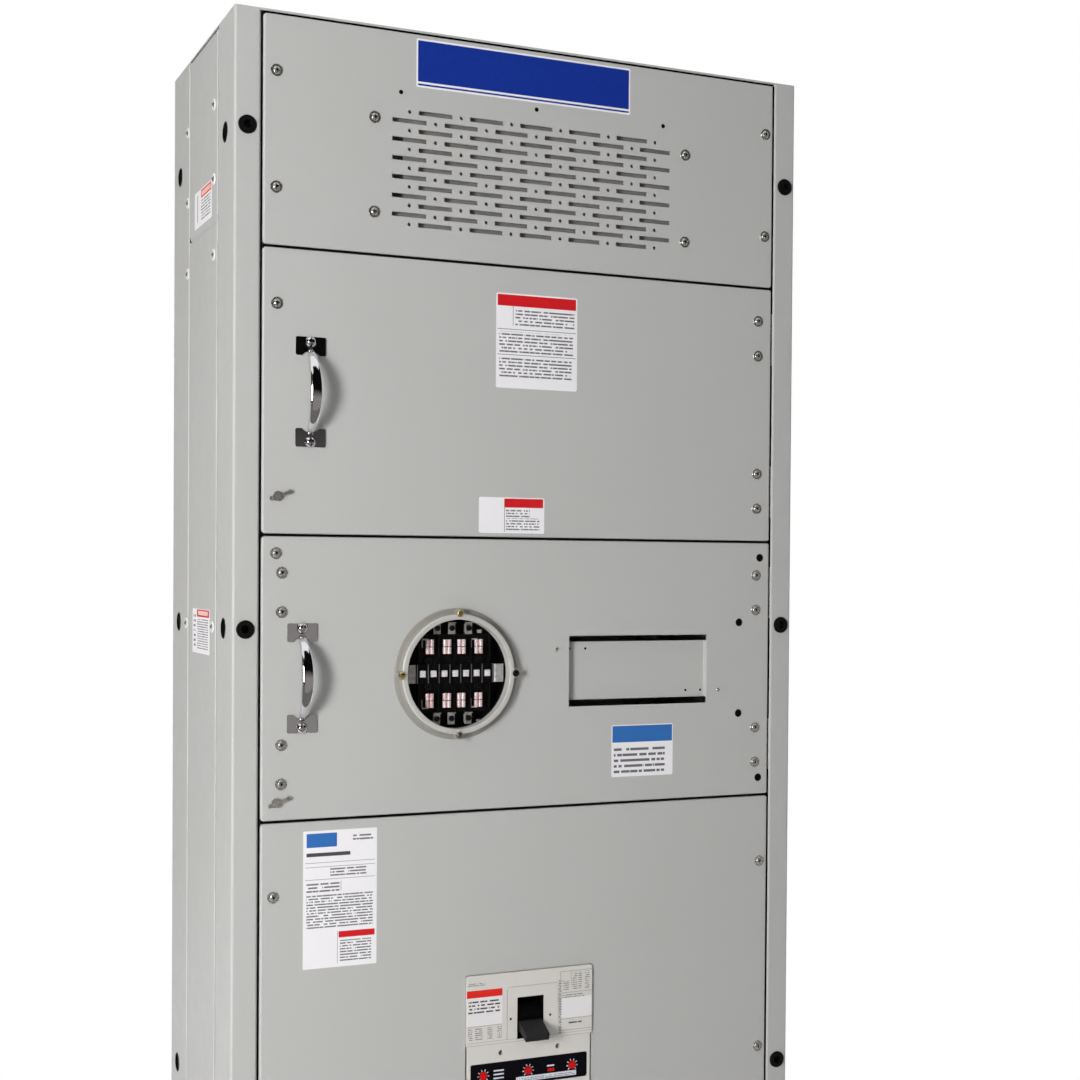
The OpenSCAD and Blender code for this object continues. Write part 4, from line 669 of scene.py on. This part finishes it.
def nameplates():
    x0, x1, z0, z1 = -0.1896, 0.1592, 2.2038, 2.2745
    front_card("vent_nameplate", x0, x1, z0, z1, label_stock("nameplate_blue", LABEL_WHITE, [
        ("box", x0 + 2.4 * MM, x1 - 2.4 * MM, z0 + 8.4 * MM, z1 - 2.8 * MM, LABEL_BLUE),
        ("box", x0 + 2.4 * MM, x1 - 2.4 * MM, z0 + 2.8 * MM, z0 + 5.4 * MM, LABEL_BLUE),
    ]), "cabinet")

    x0, x1, z0, z1 = -0.0616, 0.0718, 1.7740, 1.9155
    edge = 2.2 * MM
    front_card("utility_notice_card", x0, x1, z0, z1, label_stock("utility_notice", LABEL_WHITE, [
        ("box", x0 + edge, x1 - edge, z1 - 19 * MM, z1 - edge, LABEL_RED),
        ("rules", x0 + 31 * MM, x1 - 5 * MM, z1 - 47 * MM, z1 - 24 * MM, PRINT_GREY, 5.1 * MM),
        ("rules", x0 + 5 * MM, x1 - 7 * MM, z1 - 88 * MM, z1 - 57 * MM, PRINT_GREY, 5.1 * MM),
        ("rules", x0 + 5 * MM, x1 - 9 * MM, z0 + 17 * MM, z1 - 95 * MM, PRINT_GREY, 5.1 * MM),
        ("box", x0 + edge, x1 - edge, z1 - 54 * MM, z1 - 53.2 * MM, PRINT_DARK),
        ("box", x0 + edge, x1 - edge, z1 - 92 * MM, z1 - 91.2 * MM, PRINT_DARK),
        ("box", x0 + 27 * MM, x0 + 27.7 * MM, z1 - 48 * MM, z1 - 19 * MM, PRINT_DARK),
    ]), "utility_door", corner=3 * MM)

    x0, x1, z0, z1 = -0.0875, 0.0191, 1.5569, 1.6105
    split = -0.0458
    front_card("utility_lower_card", x0, x1, z0, z1, label_stock("utility_lower", LABEL_WHITE, [
        ("box", split, x1 - edge, z1 - 15 * MM, z1 - 1.6 * MM, LABEL_RED),
        ("rules", split + 2 * MM, x1 - 24 * MM, z1 - 29 * MM, z1 - 18 * MM, PRINT_GREY, 4.2 * MM),
        ("rules", split + 2 * MM, x1 - 8 * MM, z0 + 5 * MM, z1 - 31 * MM, PRINT_GREY, 4.2 * MM),
        ("box", split - 0.8 * MM, split, z0 + edge, z1 - edge, PRINT_DARK),
    ]), "utility_door")

    x0, x1, z0, z1 = 0.1355, 0.2426, 1.1830, 1.2633
    front_card("meter_service_card", x0, x1, z0, z1, label_stock("meter_service", LABEL_WHITE, [
        ("box", x0 + 1.4 * MM, x1 - 1.4 * MM, z1 - 27 * MM, z1 - 1.4 * MM, LABEL_SKY),
        ("rules", x0 + 4 * MM, x1 - 14 * MM, z0 + 6 * MM, z1 - 32 * MM, PRINT_GREY, 8.6 * MM),
    ]), "meter_door")

    x0, x1, z0, z1 = -0.3537, -0.2434, 0.9297, 1.1275
    front_card("rating_card", x0, x1, z0, z1, label_stock("rating_sheet", LABEL_WHITE, [
        ("box", x0 + 5 * MM, x0 + 50 * MM, z1 - 24 * MM, z1 - 4 * MM, LABEL_SKY),
        ("box", x0 + 5 * MM, x0 + 70 * MM, z1 - 37.2 * MM, z1 - 32 * MM, PRINT_DARK),
        ("rules", x0 + 74 * MM, x1 - 6 * MM, z1 - 16 * MM, z1 - 6 * MM, PRINT_GREY, 5 * MM),
        ("box", x0 + 3 * MM, x1 - 3 * MM, z1 - 46.4 * MM, z1 - 45.8 * MM, PRINT_GREY),
        ("box", x0 + 3 * MM, x1 - 3 * MM, z1 - 52.6 * MM, z1 - 52 * MM, PRINT_GREY),
        ("rules", x0 + 40 * MM, x1 - 16 * MM, z1 - 66 * MM, z1 - 54 * MM, PRINT_GREY, 4.4 * MM),
        ("box", x0 + 3 * MM, x1 - 3 * MM, z1 - 70.6 * MM, z1 - 70 * MM, PRINT_GREY),
        ("rules", x0 + 5 * MM, x0 + 54 * MM, z1 - 88 * MM, z1 - 73 * MM, PRINT_GREY, 5 * MM),
        ("box", x0 + 56 * MM, x0 + 56.6 * MM, z1 - 88 * MM, z1 - 74 * MM, PRINT_GREY),
        ("rules", x0 + 5 * MM, x1 - 6 * MM, z0 + 58 * MM, z1 - 92 * MM, PRINT_GREY, 4.1 * MM),
        ("box", x0 + 53 * MM, x1 - 3 * MM, z0 + 42 * MM, z0 + 51 * MM, LABEL_RED),
        ("rules", x0 + 55 * MM, x1 - 8 * MM, z0 + 8 * MM, z0 + 38 * MM, PRINT_GREY, 4.1 * MM),
        ("box", x0 + 51 * MM, x0 + 51.6 * MM, z0 + 5 * MM, z0 + 52 * MM, PRINT_GREY),
    ]), "cabinet", corner=1.2 * MM)

    # the left side's two cards; their front edge is the low y
    y0, y1, z0, z1 = -0.0662, 0.0478, 2.0170, 2.0720
    side_card("side_upper_card", y0, y1, z0, z1, label_stock("side_upper", LABEL_WHITE, [
        ("box", y0 + 3 * MM, y0 + 70 * MM, z1 - 14 * MM, z1 - 2 * MM, LABEL_RED),
        ("box", y0 + 7 * MM, y0 + 66 * MM, z1 - 11.5 * MM, z1 - 4.5 * MM, srgb(238, 190, 182)),
        ("rules", y0 + 8 * MM, y0 + 70 * MM, z0 + 8 * MM, z1 - 17 * MM, PRINT_GREY, 4.6 * MM),
        ("box", y1 - 22 * MM, y1 - 19 * MM, z0 + 8 * MM, z1 - 6 * MM, PRINT_DARK),
    ], along="y"), "cabinet")
    y0, y1, z0, z1 = -0.0622, 0.0528, 1.3730, 1.4400
    side_card("side_lower_card", y0, y1, z0, z1, label_stock("side_lower", LABEL_WHITE, [
        ("box", y0 + 2 * MM, y0 + 84 * MM, z1 - 12 * MM, z1 - 1 * MM, LABEL_RED),
        ("box", y0 + 11 * MM, y0 + 76 * MM, z1 - 9.5 * MM, z1 - 3 * MM, srgb(238, 196, 190)),
        ("rules", y0 + 8 * MM, y0 + 82 * MM, z0 + 7 * MM, z1 - 15 * MM, PRINT_GREY, 3.6 * MM),
        ("rules", y1 - 22 * MM, y1 - 8 * MM, z0 + 10 * MM, z1 - 8 * MM, PRINT_DARK, 7.4 * MM),
    ], along="y"), "cabinet")


nameplates()


# ---------------------------------------------------------------- meter socket

# places in mm about the meter's axis
OUTER_JAW_X = 38.8
INNER_JAW_X = 11.4
TERMINAL_PITCH = 17.05
LUG_X = (-26, -3, 24)
LUG_Z = (-67, 67)


def from_meter(x, depth, z):
    """A place by its distance right of the meter axis, behind the door's face, and above."""
    return METER_AXIS + Vector((x, depth, z)) * MM


def socket_box(piece, x, depth, z, ease):
    """A block by its (from, to) pairs in mm about the meter axis."""
    low, high = (from_meter(*corner) for corner in zip(x, depth, z))
    piece.block(low, high, ease * MM)


def contact_jaws():
    """Spring leaves in pairs, each rolled outwards at its mouth and split across its middle."""
    jaws = Workpiece("contact_jaws")
    leaf = [(0.9, 15.0), (0.9, 8.5)] + arc((3.3, 8.0), 2.4, 180, 385)
    plan = [(x * MM, y * MM) for x, y in leaf]
    for x in (-OUTER_JAW_X, -INNER_JAW_X, INNER_JAW_X, OUTER_JAW_X):
        for z in (-39.8, 39.8):
            for hand in (-1, 1):
                seat = Matrix.Translation(from_meter(x, 0, z)) @ Matrix.Diagonal((hand, 1, 1, 1))
                for low, high in ((-10.6, -0.6), (0.6, 10.6)):
                    jaws.bent_strip(plan, 0.8 * MM, low * MM, high * MM, seat)
    jaws.finish(jaw_plate_material, "meter_door", smooth=40)


def terminal_row():
    """The seven test terminals between the barriers."""
    row = Workpiece("terminal_row")
    for i in range(-3, 4):
        x = i * TERMINAL_PITCH + 1.2
        socket_box(row, (x - 4.5, x + 4.5), (5.5, 10), (-4.8, 4.8), 0.6)
        row.turned([(0, 0.5 * MM), (2.6 * MM, 0.5 * MM), (2.9 * MM, 0.2 * MM), (2.9 * MM, 0)],
                   at(*from_meter(x, 5.6, 0)), 16)
    row.finish(terminal_silver(), "meter_door")


def barrier_edges():
    # the barriers' front edges in paler grey: a painted highlight
    edges = Workpiece("barrier_edges")
    for i in range(8):
        x = (i - 3.5) * TERMINAL_PITCH
        socket_box(edges, (x - 0.75, x + 0.75), (2.75, 3.3), (-14, 14), 0.2)
    edges.finish(edge_highlight_black, "meter_door")


def socket_bosses():
    bosses = Workpiece("socket_bosses")
    for x in (-39.5, 39.5):
        for z in (-19.5, 19.5):
            bosses.turned([(0, 4.4 * MM), (2.2 * MM, 4.4 * MM), (2.6 * MM, 5.6 * MM),
                           (5.6 * MM, 5.6 * MM), (6.5 * MM, 4.6 * MM), (6.5 * MM, 0), (0, 0)],
                          at(*from_meter(x, 15, z)), 28)
    bosses.finish(bpy.data.materials["socket_phenolic"], "meter_door", smooth=35)


def line_and_load_lugs():
    """Clamp plates above and below the jaws, with their folded tabs."""
    lugs = Workpiece("socket_lugs")
    for z in LUG_Z:
        for x in LUG_X:
            socket_box(lugs, (x - 5.5, x + 5.5), (11.2, 12.8), (z - 9, z + 9), 0.4)
            socket_box(lugs, (x - 5.5, x + 5.5), (6.5, 12.0), (z + 7.6, z + 9), 0.4)
        socket_box(lugs, (17.0, 18.2), (6.5, 13), (z - 6.5, z + 6.5), 0.3)
        socket_box(lugs, (37, 44), (9, 12), (z - 7.5, z - 2.5), 0.4)
    lugs.finish(socket_steel, "meter_door")


def lug_screws():
    screws = Workpiece("socket_lug_screws")
    for z in LUG_Z:
        for x in LUG_X:
            screws.turned([(0, 1.2 * MM), (2.0 * MM, 1.2 * MM), (2.2 * MM, 2.6 * MM),
                           (3.7 * MM, 2.6 * MM), (4.3 * MM, 2.0 * MM), (4.3 * MM, 0)],
                          at(*from_meter(x, 11.3, z)), 20)
    screws.finish(lug_screw_steel(), "meter_door", smooth=35)


def bonding_brackets():
    """Bent straps beside the barriers, and the L straps left of the outer jaws."""
    straps = Workpiece("bonding_straps")
    for hand in (-1, 1):
        seat = Matrix.Translation(METER_AXIS) @ Matrix.Diagonal((hand, 1, 1, 1))
        path = [(62.4, 29.0), (62.4, 7.0)] + arc((66.4, 7.0), 4.0, 180, 270) + [(76.0, 3.0)]
        straps.bent_strip([(x * MM, y * MM) for x, y in path], 1.6 * MM, -13.5 * MM, 13.5 * MM,
                          seat)
    for x in (-OUTER_JAW_X, OUTER_JAW_X):
        for side in (-1, 1):
            low, high = sorted((side * 49.6, side * 51.8))
            socket_box(straps, (x - 11.5, x - 1.5), (8.4, 10), (low, high), 0.3)
            low, high = sorted((side * 38, side * 49.6))
            socket_box(straps, (x - 11.5, x - 10.1), (10.4, 14.8), (low, high), 0.3)
    straps.finish(socket_steel, "meter_door", smooth=40)


def meter_socket():
    for fit in (contact_jaws, terminal_row, barrier_edges, socket_bosses, line_and_load_lugs,
                lug_screws, bonding_brackets):
        fit()
    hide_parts("socket_jaws")


jaw_plate_material = bpy.data.materials["jaw_plate"]
socket_steel = lug_steel()
edge_highlight_black = black_edge_painted_highlight()
meter_socket()


# ---------------------------------------------------------------- trip unit and breaker front

def trip_markings():
    """The dials' tick marks, the two pale strips and the three short bars, as raised print."""
    marks = Workpiece("trip_markings")
    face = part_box("trip_unit_cover")[0].y
    thick = 0.15 * MM
    ticks, tick_reach = 8, 8.2 * MM
    strip_x, strip_z = 28, 733.2
    for dial in ("trip_dial_1", "trip_dial_2", "trip_dial_3"):
        low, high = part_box(dial)
        middle = (low + high) / 2
        for step in range(ticks):
            turn = math.radians(-135 + 270 * step / (ticks - 1))
            place = at(middle.x, face, middle.z) @ Matrix.Rotation(-turn, 4, "Z")
            marks.card(1.4 * MM, 2.6 * MM, 0, thick,
                       place @ Matrix.Translation((0, tick_reach, 0)))
    for across, up, x, z in ((100, 7.5, strip_x, strip_z), (16.8, 2.2, -50.4, 750.8),
                             (16.8, 2.2, -50.4, 745.2), (16.8, 2.2, -50.4, 739.5),
                             (12, 2.4, 35, 748.5)):
        marks.card(across * MM, up * MM, 0.5 * MM, thick, at(x * MM, face, z * MM))
    f = Finish("trip_marking_white", srgb(216, 218, 226), 0.5, Specular_IOR_Level=0.3)
    words = f.patch_mask((strip_x * MM, 0, strip_z * MM), (96 * MM, None, 5 * MM))
    rows = f.rule_mask(2.6 * MM, 1.2 * MM, 0.7307)
    f.tint(f.sum(words, rows, kind="MULTIPLY"), srgb(120, 122, 132))
    f.tint(f.spread(f.noise(300, 3), 0.5, 0.8, 0.0, 0.2), srgb(180, 182, 192))
    f.roughness(f.noise(600, 3), 0.42, 0.58)
    marks.finish(f.material, "cabinet")


trip_markings()


# ---------------------------------------------------------------- screws, grommets and seals

def islands(node):
    """The low and high corners of each loose part of a CAD node, which stays as it is."""
    shape = bmesh.new()
    shape.from_mesh(frame["nodes"][node].data)
    bmesh.ops.remove_doubles(shape, verts=shape.verts, dist=0.002 * MM)
    left = set(shape.verts)
    found = []
    while left:
        edge = [left.pop()]
        low, high = edge[0].co.copy(), edge[0].co.copy()
        while edge:
            vert = edge.pop()
            for axis in range(3):
                low[axis] = min(low[axis], vert.co[axis])
                high[axis] = max(high[axis], vert.co[axis])
            for line in vert.link_edges:
                other = line.other_vert(vert)
                if other in left:
                    left.remove(other)
                    edge.append(other)
        found.append((low, high))
    shape.free()
    return sorted(found, key=lambda pair: (round(pair[0].z, 4), round(pair[0].x, 4)))


def side_grommets():
    """Black rubber lips in the round holes of both sides."""
    lips = Workpiece("side_grommets")
    ring = [(12.15, 0.2), (12.6, 0.5), (14.3, 0.5), (14.9, 0.1), (14.9, 0), (12.6, 0),
            (12.6, -2.4), (12.15, -2.4), (12.15, 0.2)]
    for side, facing in ((LEFT_SIDE, FACING_LEFT), (-LEFT_SIDE, FACING_RIGHT)):
        for y in SIDE_HOLE_Y:
            for z in SIDE_HOLE_Z:
                lips.turned([(r * MM, h * MM) for r, h in ring], at(side, y, z, facing), 40)
    lips.finish(finishes["black_rubber"], "cabinet", smooth=35)


# Near-black finish: painted shade on the seam strips and the screw recesses, and the plug buttons'
# own black.
def shade_and_plug_black():
    f = Finish("shade_and_plug_black", srgb(7, 7, 7), 0.7, Specular_IOR_Level=0.1)
    f.tint(f.spread(f.noise(220, 3), 0.5, 0.8, 0.0, 0.5), srgb(14, 14, 13))
    f.roughness(f.noise(500, 3), 0.6, 0.8)
    f.bump(f.noise(1500, 2), 0.2, 0.0001)
    return f.material


def seam_shade_strips():
    """Black strips in the level joints, up the left gap and under the roof, and on the right post,
    clear of the doors' turning edges: dark strips set in the gaps as painted shade."""
    shade_strips = Workpiece("seam_shade_strips")
    panels = ["bottom_panel", "breaker_panel", "meter_door_skin", "utility_door_skin",
              "vent_panel"]
    boxes = [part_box(panel) for panel in panels]
    front, back = FRONT + 1.2 * MM, FRONT + 9 * MM
    room = 0.3 * MM
    arm_gap = 3 * MM
    for below, above in zip(boxes, boxes[1:]):
        shade_strips.block((below[0].x + 2 * MM, front, below[1].z + room),
                    (below[1].x - 2 * MM, back, above[0].z - room), 0)
    top = boxes[-1][1].z
    shade_strips.block((boxes[0][0].x, front, top + room), (boxes[0][1].x, back, top + 2.2 * MM), 0)
    edge = boxes[0][0].x
    shade_strips.block((edge - 2.9 * MM, front + 3 * MM, boxes[0][0].z), (edge - room, back, top), 0)
    edge = boxes[0][1].x + 2.6 * MM
    foot = boxes[0][0].z
    arms = sorted((low.z, high.z) for node in ("utility_hinge_arms", "meter_hinge_arms")
                  for low, high in islands(node))
    for low, high in arms + [(top + arm_gap, top + arm_gap)]:
        if low - arm_gap > foot:
            shade_strips.block((edge - room, front + 0.4 * MM, foot), (edge, back, low - arm_gap), 0)
        foot = max(foot, high + arm_gap)
    shade_strips.finish(shade_and_plug_black(), "cabinet")


def bushing_lips():
    """The raised lip round each front bushing's bore."""
    lips = Workpiece("bushing_lips")
    lip = [(6.2, 0.0), (6.2, 0.45), (6.7, 0.75), (7.3, 0.75), (7.8, 0.4), (7.9, 0.0), (6.2, 0.0)]
    low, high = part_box("post_bushings")
    flange_radius = 12.95 * MM
    for x in (low.x + flange_radius, high.x - flange_radius):
        for z in SIDE_HOLE_Z:
            lips.turned([(r * MM, h * MM) for r, h in lip],
                        at(x, low.y + 0.4 * MM, z), 36)
    lips.finish(finishes["black_rubber"], "cabinet", smooth=35)


def outward_heads(node):
    """Where each screw head that faces out sits on its sheet, and its rise, radius and side."""
    proud = 2 * MM
    for low, high in islands(node):
        middle = (low + high) / 2
        radius = (high.z - low.z) / 2
        if low.y < FRONT - proud:
            yield at(middle.x, FRONT, middle.z), FRONT - low.y, radius, "front"
        elif low.x < LEFT_SIDE - proud:
            seat = at(LEFT_SIDE, middle.y, middle.z, FACING_LEFT)
            yield seat, LEFT_SIDE - low.x, radius, "side"
        elif high.x > -LEFT_SIDE + proud:
            seat = at(-LEFT_SIDE, middle.y, middle.z, FACING_RIGHT)
            yield seat, high.x + LEFT_SIDE, radius, "side"
        elif high.y > -FRONT + proud:
            seat = at(middle.x, -FRONT, middle.z, FACING_BACK)
            yield seat, high.y + FRONT, radius, "back"


OUTER_SCREWS = (("cover_screws", "cabinet"), ("utility_door_screws", "utility_door"),
                ("meter_door_screws", "meter_door"))


def screw_recess_shades():
    """A black disc in every plated screw head that faces out: painted shade standing in for its
    dark driver recess.
    """
    sunk = 0.17 * MM
    lid = 0.16 * MM
    for node, body in OUTER_SCREWS:
        recess_shades = Workpiece(node + "_recesses")
        for seat, rise, _, _ in outward_heads(node):
            recess_shades.turned([(0, lid), (1.7 * MM, lid), (1.85 * MM, 0), (0, 0)],
                            seat @ Matrix.Translation((0, 0, rise - sunk)), 6)
        recess_shades.finish(recess_shade_and_plug_black, body)


def screw_washers():
    """A flat washer round every plated screw head that faces out."""
    for node, body in OUTER_SCREWS:
        washers = Workpiece(node + "_washers")
        side_washers = Workpiece("side_screw_washers")
        for seat, _, radius, side in outward_heads(node):
            pile, lift = (side_washers, 1.9 * MM) if side == "side" else (washers, 0.9 * MM)
            bore = radius + 0.1 * MM
            rim = bore + 2.5 * MM
            pile.turned([(bore, lift), (rim - 0.4 * MM, lift), (rim, lift - 0.4 * MM),
                         (rim, 0), (bore, 0), (bore, lift)], seat, 32)
        washers.finish(finishes["zinc"], body, smooth=35)
        # the sides' washers take the paler zinc, a painted sheen
        if side_washers.bm.verts:
            side_washers.finish(side_zinc_painted_sheen(), body, smooth=35)


def side_cover_beads():
    """The rolled upright edges of the removable side covers, in paler paint as a painted
    highlight.
    """
    beads = Workpiece("side_cover_beads")
    width = 2.2 * MM
    foot = 0.0441
    for cover, hand in (("side_cover_left", -1), ("side_cover_right", 1)):
        low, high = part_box(cover)
        outside = low.x if hand < 0 else high.x
        inner, outer = sorted((outside, outside + hand * MM))
        for y0, y1 in ((low.y, low.y + width), (high.y - width, high.y)):
            beads.block((inner, y0, foot), (outer, y1, high.z), 0.45 * MM)
    beads.finish(bead_painted_highlight(), "cabinet", smooth=50)


def hole_plugs():
    """Black plug buttons in the holes that nothing uses: beside the slots' top, at the metering
    door's spare hinge places and in the test-switch plate."""
    def button(pile, x, y, z, radius):
        pile.turned([(0, 0.6 * MM), (radius - 1.0 * MM, 0.55 * MM), (radius, 0.1 * MM),
                     (radius, 0), (0, 0)], at(x, y, z), 24)

    vent = Workpiece("vent_plugs")
    for x in (-213, 2, 217):
        button(vent, x * MM, FRONT, VENT_HOLE_Z, 3.2 * MM)
    vent.finish(recess_shade_and_plug_black, "cabinet")

    door = Workpiece("door_plugs")
    low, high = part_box("meter_door_skin")
    middle = (low.z + high.z) / 2
    for inset, z in ((17.9, high.z - 23.55 * MM), (55.4, middle + 74.5 * MM),
                     (55.4, middle - 70.4 * MM), (17.9, low.z + 26.45 * MM)):
        button(door, high.x - inset * MM, FRONT, z, 6.2 * MM)
    low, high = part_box("test_switch_plate")
    centre = (low + high) / 2
    plate_front = high.y - 1.9 * MM
    for hand in (-1, 1):
        z = centre.z - hand * 34.1 * MM
        for reach in (88, 114.6):
            button(door, centre.x + hand * reach * MM, plate_front, z, 1.9 * MM)
    door.finish(recess_shade_and_plug_black, "meter_door")


# one black for the painted shade in the screw recesses and for the plug buttons
recess_shade_and_plug_black = shade_and_plug_black()
recess_shade_and_plug_black.name = "recess_shade_and_plug_black"
side_grommets()
bushing_lips()
seam_shade_strips()
screw_recess_shades()
screw_washers()
side_cover_beads()
hole_plugs()


# ---------------------------------------------------------------- studio

scene = bpy.context.scene


def white_surround():
    """Soft light on the object, and plain white behind it and in what is polished."""
    world = bpy.data.worlds.new("studio_world")
    scene.world = world
    world.use_nodes = True
    nodes, links = world.node_tree.nodes, world.node_tree.links
    soft = nodes["Background"]
    white = nodes.new("ShaderNodeBackground")
    for glow, strength in ((soft, 0.2), (white, 1.0)):
        glow.inputs["Color"].default_value = (1, 1, 1, 1)
        glow.inputs["Strength"].default_value = strength
    path = nodes.new("ShaderNodeLightPath")
    seen = path.outputs["Is Camera Ray"]
    for ray in ("Is Glossy Ray", "Is Transmission Ray"):
        either = nodes.new("ShaderNodeMath")
        either.operation = "MAXIMUM"
        links.new(seen, either.inputs[0])
        links.new(path.outputs[ray], either.inputs[1])
        seen = either.outputs[0]
    mix = nodes.new("ShaderNodeMixShader")
    links.new(seen, mix.inputs["Fac"])
    links.new(soft.outputs[0], mix.inputs[1])
    links.new(white.outputs[0], mix.inputs[2])
    links.new(mix.outputs[0], nodes["World Output"].inputs["Surface"])


def fading_floor():
    """White floor that takes the object's shade close by and fades into the surround."""
    shade_ends, fade_ends = 0.9, 1.9
    bm = bmesh.new()
    bmesh.ops.create_circle(bm, cap_ends=True, radius=14, segments=96)
    mesh = bpy.data.meshes.new("studio_floor")
    bm.to_mesh(mesh)
    bm.free()
    floor = bpy.data.objects.new("studio_floor", mesh)
    scene.collection.objects.link(floor)
    f = Finish("studio_floor_paint", srgb(238, 238, 238), 0.85)
    glow = f.nodes.new("ShaderNodeEmission")
    path = f.nodes.new("ShaderNodeLightPath")
    seen = f.sum(path.outputs["Is Camera Ray"], path.outputs["Is Glossy Ray"],
                 path.outputs["Is Transmission Ray"], kind="MAXIMUM")
    distance = f.nodes.new("ShaderNodeVectorMath")
    distance.operation = "LENGTH"
    f.links.new(f.place, distance.inputs[0])
    far = f.spread(distance.outputs["Value"], shade_ends, fade_ends)
    mix = f.nodes.new("ShaderNodeMixShader")
    f.links.new(f.sum(seen, far, kind="MULTIPLY"), mix.inputs["Fac"])
    f.links.new(f.shader.outputs[0], mix.inputs[1])
    f.links.new(glow.outputs[0], mix.inputs[2])
    f.links.new(mix.outputs[0], f.nodes["Material Output"].inputs["Surface"])
    mesh.materials.append(f.material)


def softbox(name, spot, aim, width, height, power):
    """A softbox that polished surfaces don't show."""
    lamp = bpy.data.lights.new(name, "AREA")
    lamp.shape, lamp.size, lamp.size_y, lamp.energy = "RECTANGLE", width, height, power
    box = bpy.data.objects.new(name, lamp)
    box.location = spot
    box.rotation_euler = (Vector(aim) - Vector(spot)).to_track_quat("-Z", "Y").to_euler()
    box.visible_glossy = False
    scene.collection.objects.link(box)


def flag(name, middle, facing, width, height, foot_glow, top_glow=0.003):
    """A cloth round the object, seen only in what is polished; it glows from foot to top."""
    blend_from, blend_to = 1.3, 2.0
    bm = bmesh.new()
    bmesh.ops.create_grid(bm, x_segments=1, y_segments=1, size=0.5,
                          matrix=Matrix.Translation(middle)
                          @ facing @ Matrix.Diagonal((width, height, 1, 1)))
    mesh = bpy.data.meshes.new(name)
    bm.to_mesh(mesh)
    bm.free()
    cloth = bpy.data.objects.new(name, mesh)
    scene.collection.objects.link(cloth)
    for kind in ("camera", "diffuse", "shadow", "transmission", "volume_scatter"):
        setattr(cloth, "visible_" + kind, False)
    f = Finish(name + "_cloth", srgb(8, 8, 8), 0.9, Specular_IOR_Level=0.0)
    glow = f.spread(f.axes()["Z"], blend_from, blend_to, foot_glow, top_glow)
    f.shader.inputs["Emission Color"].default_value = (1, 0.94, 0.9, 1)
    f.links.new(glow, f.shader.inputs["Emission Strength"])
    mesh.materials.append(f.material)


def studio_camera():
    lens = bpy.data.cameras.new("camera")
    lens.lens, lens.sensor_width, lens.shift_y = 55.144, 36.0, 0.05
    lens.clip_start, lens.clip_end = 0.05, 100
    camera = bpy.data.objects.new("camera", lens)
    turn, lift, roll = map(math.radians, (24.0199, -0.8621, 0.3955))
    ahead = Vector((math.sin(turn) * math.cos(lift), math.cos(turn) * math.cos(lift),
                    math.sin(lift)))
    right = Vector((math.cos(turn), -math.sin(turn), 0))
    up = right.cross(ahead)
    right, up = (right * math.cos(roll) + up * math.sin(roll),
                 up * math.cos(roll) - right * math.sin(roll))
    pose = Matrix((right, up, -ahead)).transposed().to_4x4()
    pose.translation = (-1.0046, -2.4864, 1.5036)
    camera.matrix_world = pose
    scene.collection.objects.link(camera)
    scene.camera = camera


def studio():
    scene.view_settings.view_transform = "Standard"
    white_surround()
    fading_floor()
    softbox("key_softbox", (-2.93, -2.43, 1.55), (-0.2, 0, 1.35), 0.7, 1.5, 125)
    softbox("top_softbox", (-0.4, -0.8, 4.6), (0, 0, 1.6), 2.6, 2.0, 26)
    towards_key = Matrix.Rotation(math.radians(-50), 4, "Z") @ FACING_FRONT
    flag("streak_card", (-2.75, -2.15, 1.75), towards_key, 0.45, 1.6, 14, 14)
    flag("front_flag", (0.7, -2.2, 2.75), FACING_FRONT, 4.8, 5.5, 0.27)
    flag("left_flag", (-4.4, -0.5, 2.9), FACING_LEFT, 6.6, 5.8, 0.05)
    flag("gap_flag", (-2.95, -3.9, 2.9), FACING_FRONT, 3.0, 5.8, 0.05)
    flag("right_flag", (3.1, -1.35, 2.75), FACING_RIGHT, 1.7, 5.5, 0.27)
    flag("rear_flag", (-4.4, 4.6, 2.9), FACING_FRONT, 7.4, 5.8, 0.3, 0.3)
    flag("floor_flag", (-0.6, -2.3, 0.01), Matrix.Identity(4), 7.4, 3.2, 0.16)
    studio_camera()


studio()
